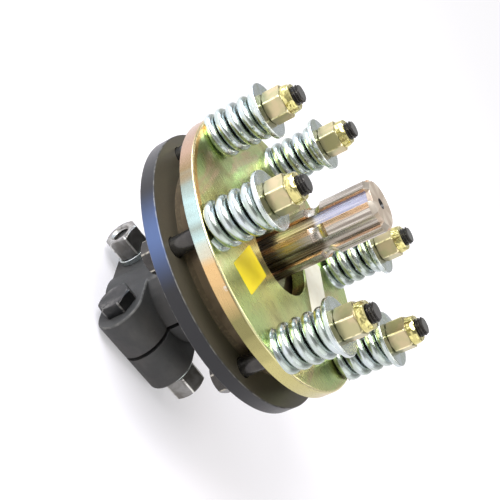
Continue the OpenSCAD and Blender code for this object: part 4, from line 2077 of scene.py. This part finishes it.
@dataclass
class Studio:
    """Plain pale floor, soft light and the camera at the photograph's viewing angle.

    Attributes:
        eye: place of the camera.
        aim: point that the camera and the lamps face.
        roll: turn of the camera about its own axis.
        lens: focal length in millimetres.
        sensor: width of the sensor in millimetres.
        floor_size: width of the floor.
        floor_drop: how far the floor lies below the part.
        paper: colour of the floor.
        glow: glow of the floor, near the part and away from it.
        glow_reach: radii between which the glow changes.
        wall_rise: where the darker wall starts, by the rise of a direction.
        wall_fall: where the darker wall ends.
        wall_shade: how much darker the wall is.
        behind_reach: where the room behind the camera darkens, by how far a direction faces it.
        behind_shade: how much darker it is there.
        room_light: light of the room elsewhere.
    """

    eye: Vector = Vector((-110.02, -593.63, 345.63)) * MM
    aim: Vector = Vector((-8.19, 1.40, 95.99)) * MM
    roll: float = math.radians(-64.757)
    lens: float = 74.988
    sensor: float = 36.0
    floor_size: float = 8.0
    floor_drop: float = 0.1 * MM
    paper: Colour = (0.62, 0.6, 0.64, 1.0)
    glow: tuple[float, float] = (0.38, 0.64)
    glow_reach: Reach = (0.25, 0.9)
    wall_rise: Reach = (0.18, 0.5)
    wall_fall: Reach = (0.95, 0.6)
    wall_shade: float = 0.55
    behind_reach: Reach = (0.5, 0.97)
    behind_shade: float = 0.4
    room_light: float = 0.75

    def build(self) -> None:
        """Set up the camera, floor, world and lamps."""
        bpy.context.scene.view_settings.view_transform = "Standard"
        self.camera()
        self.floor()
        self.world()
        for lamp in LAMPS:
            lamp.build(self.aim)

    def axes(self) -> Matrix:
        """Work out the camera's axes.

        Returns:
            A matrix whose columns are right, up and back.
        """
        back = (self.eye - self.aim).normalized()
        level = Vector((0, 0, 1)).cross(back).normalized()
        upright = back.cross(level)
        up = upright * math.cos(self.roll) + level * math.sin(self.roll)
        right = up.cross(back)
        return Matrix((right, up, back)).transposed()

    def camera(self) -> None:
        """Make the camera."""
        data = bpy.data.cameras.new("camera")
        data.lens = self.lens
        data.sensor_width = self.sensor
        made = bpy.data.objects.new("camera", data)
        made.matrix_world = Matrix.Translation(self.eye) @ self.axes().to_4x4()
        bpy.context.scene.collection.objects.link(made)
        bpy.context.scene.camera = made

    def floor(self) -> None:
        """Make the floor, white where it is lit and soft grey in the shadow."""
        mesh = bpy.data.meshes.new("floor")
        with edited(mesh) as shape:
            bmesh.ops.create_grid(shape, x_segments=1, y_segments=1, size=self.floor_size / 2)
        floor = new_object("floor", mesh)
        floor.location.z = -self.floor_drop
        material = bpy.data.materials.new("pale_floor")
        material.use_nodes = True
        graph = Graph(material.node_tree)
        rays = graph.add("ShaderNodeLightPath").outputs
        seen = graph.math("MAXIMUM", rays["Is Camera Ray"], rays["Is Glossy Ray"])
        seen = graph.math("MAXIMUM", seen, rays["Is Transmission Ray"])
        paper = graph.add("ShaderNodeBsdfDiffuse", {"Color": self.paper})
        place = graph.add("ShaderNodeTexCoord").outputs["Object"]
        level = graph.between(graph.step(graph.radius(place), *self.glow_reach), *self.glow)
        glow = graph.add("ShaderNodeEmission", {"Strength": graph.times(seen, level)})
        both = graph.add("ShaderNodeAddShader", {0: paper.outputs[0], 1: glow.outputs[0]})
        graph.add("ShaderNodeOutputMaterial", {"Surface": both.outputs[0]})
        floor.data.materials.append(material)
        floor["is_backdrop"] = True

    def world(self) -> None:
        """Make the surroundings: white to the camera, and a bright room with a darker side elsewhere."""
        world = bpy.data.worlds.new("studio")
        bpy.context.scene.world = world
        world.use_nodes = True
        graph = Graph(world.node_tree)
        rays = graph.add("ShaderNodeLightPath").outputs
        direction = graph.add("ShaderNodeTexCoord").outputs["Generated"]
        wall = graph.band(graph.height(direction), self.wall_rise, self.wall_fall)
        facing = graph.vector("DOT_PRODUCT", direction, self.axes().col[2])
        behind = graph.step(facing, *self.behind_reach)
        room = graph.times(
            graph.rest(graph.times(behind, self.behind_shade)),
            graph.rest(graph.times(wall, self.wall_shade)),
            self.room_light,
        )
        level = graph.math("MAXIMUM", rays["Is Camera Ray"], room)
        sky = graph.add("ShaderNodeBackground", {"Color": (1.0, 1.0, 1.0, 1.0), "Strength": level})
        graph.add("ShaderNodeOutputWorld", {"Surface": sky.outputs[0]})


def main() -> None:
    """Build the sub-assemblies in order, then work out the part's box before and after."""
    logging.basicConfig(level=logging.INFO, format="%(name)s: %(message)s")
    layout = Layout()
    Studio().build()
    bolts = Circle(ring_tree(), layout.bolt_count, layout.bolt_circle_d)
    ClampHub(layout, bolts).build()
    SplinedStub(layout).build()
    PressurePlate(layout, bolts).build()
    SpringSet(layout, bolts).build()
    dress(LINING, "rear_friction_disc", "front_friction_disc")
    dress(DULL_STEEL, "drive_plate")
    dress(BRONZE, "pilot_bush")
    boxes = {"cad": CAD_BOX, "visual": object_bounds()}
    plain = {name: [[float(value) for value in corner] for corner in box] for name, box in boxes.items()}


if __name__ == "__main__":
    main()
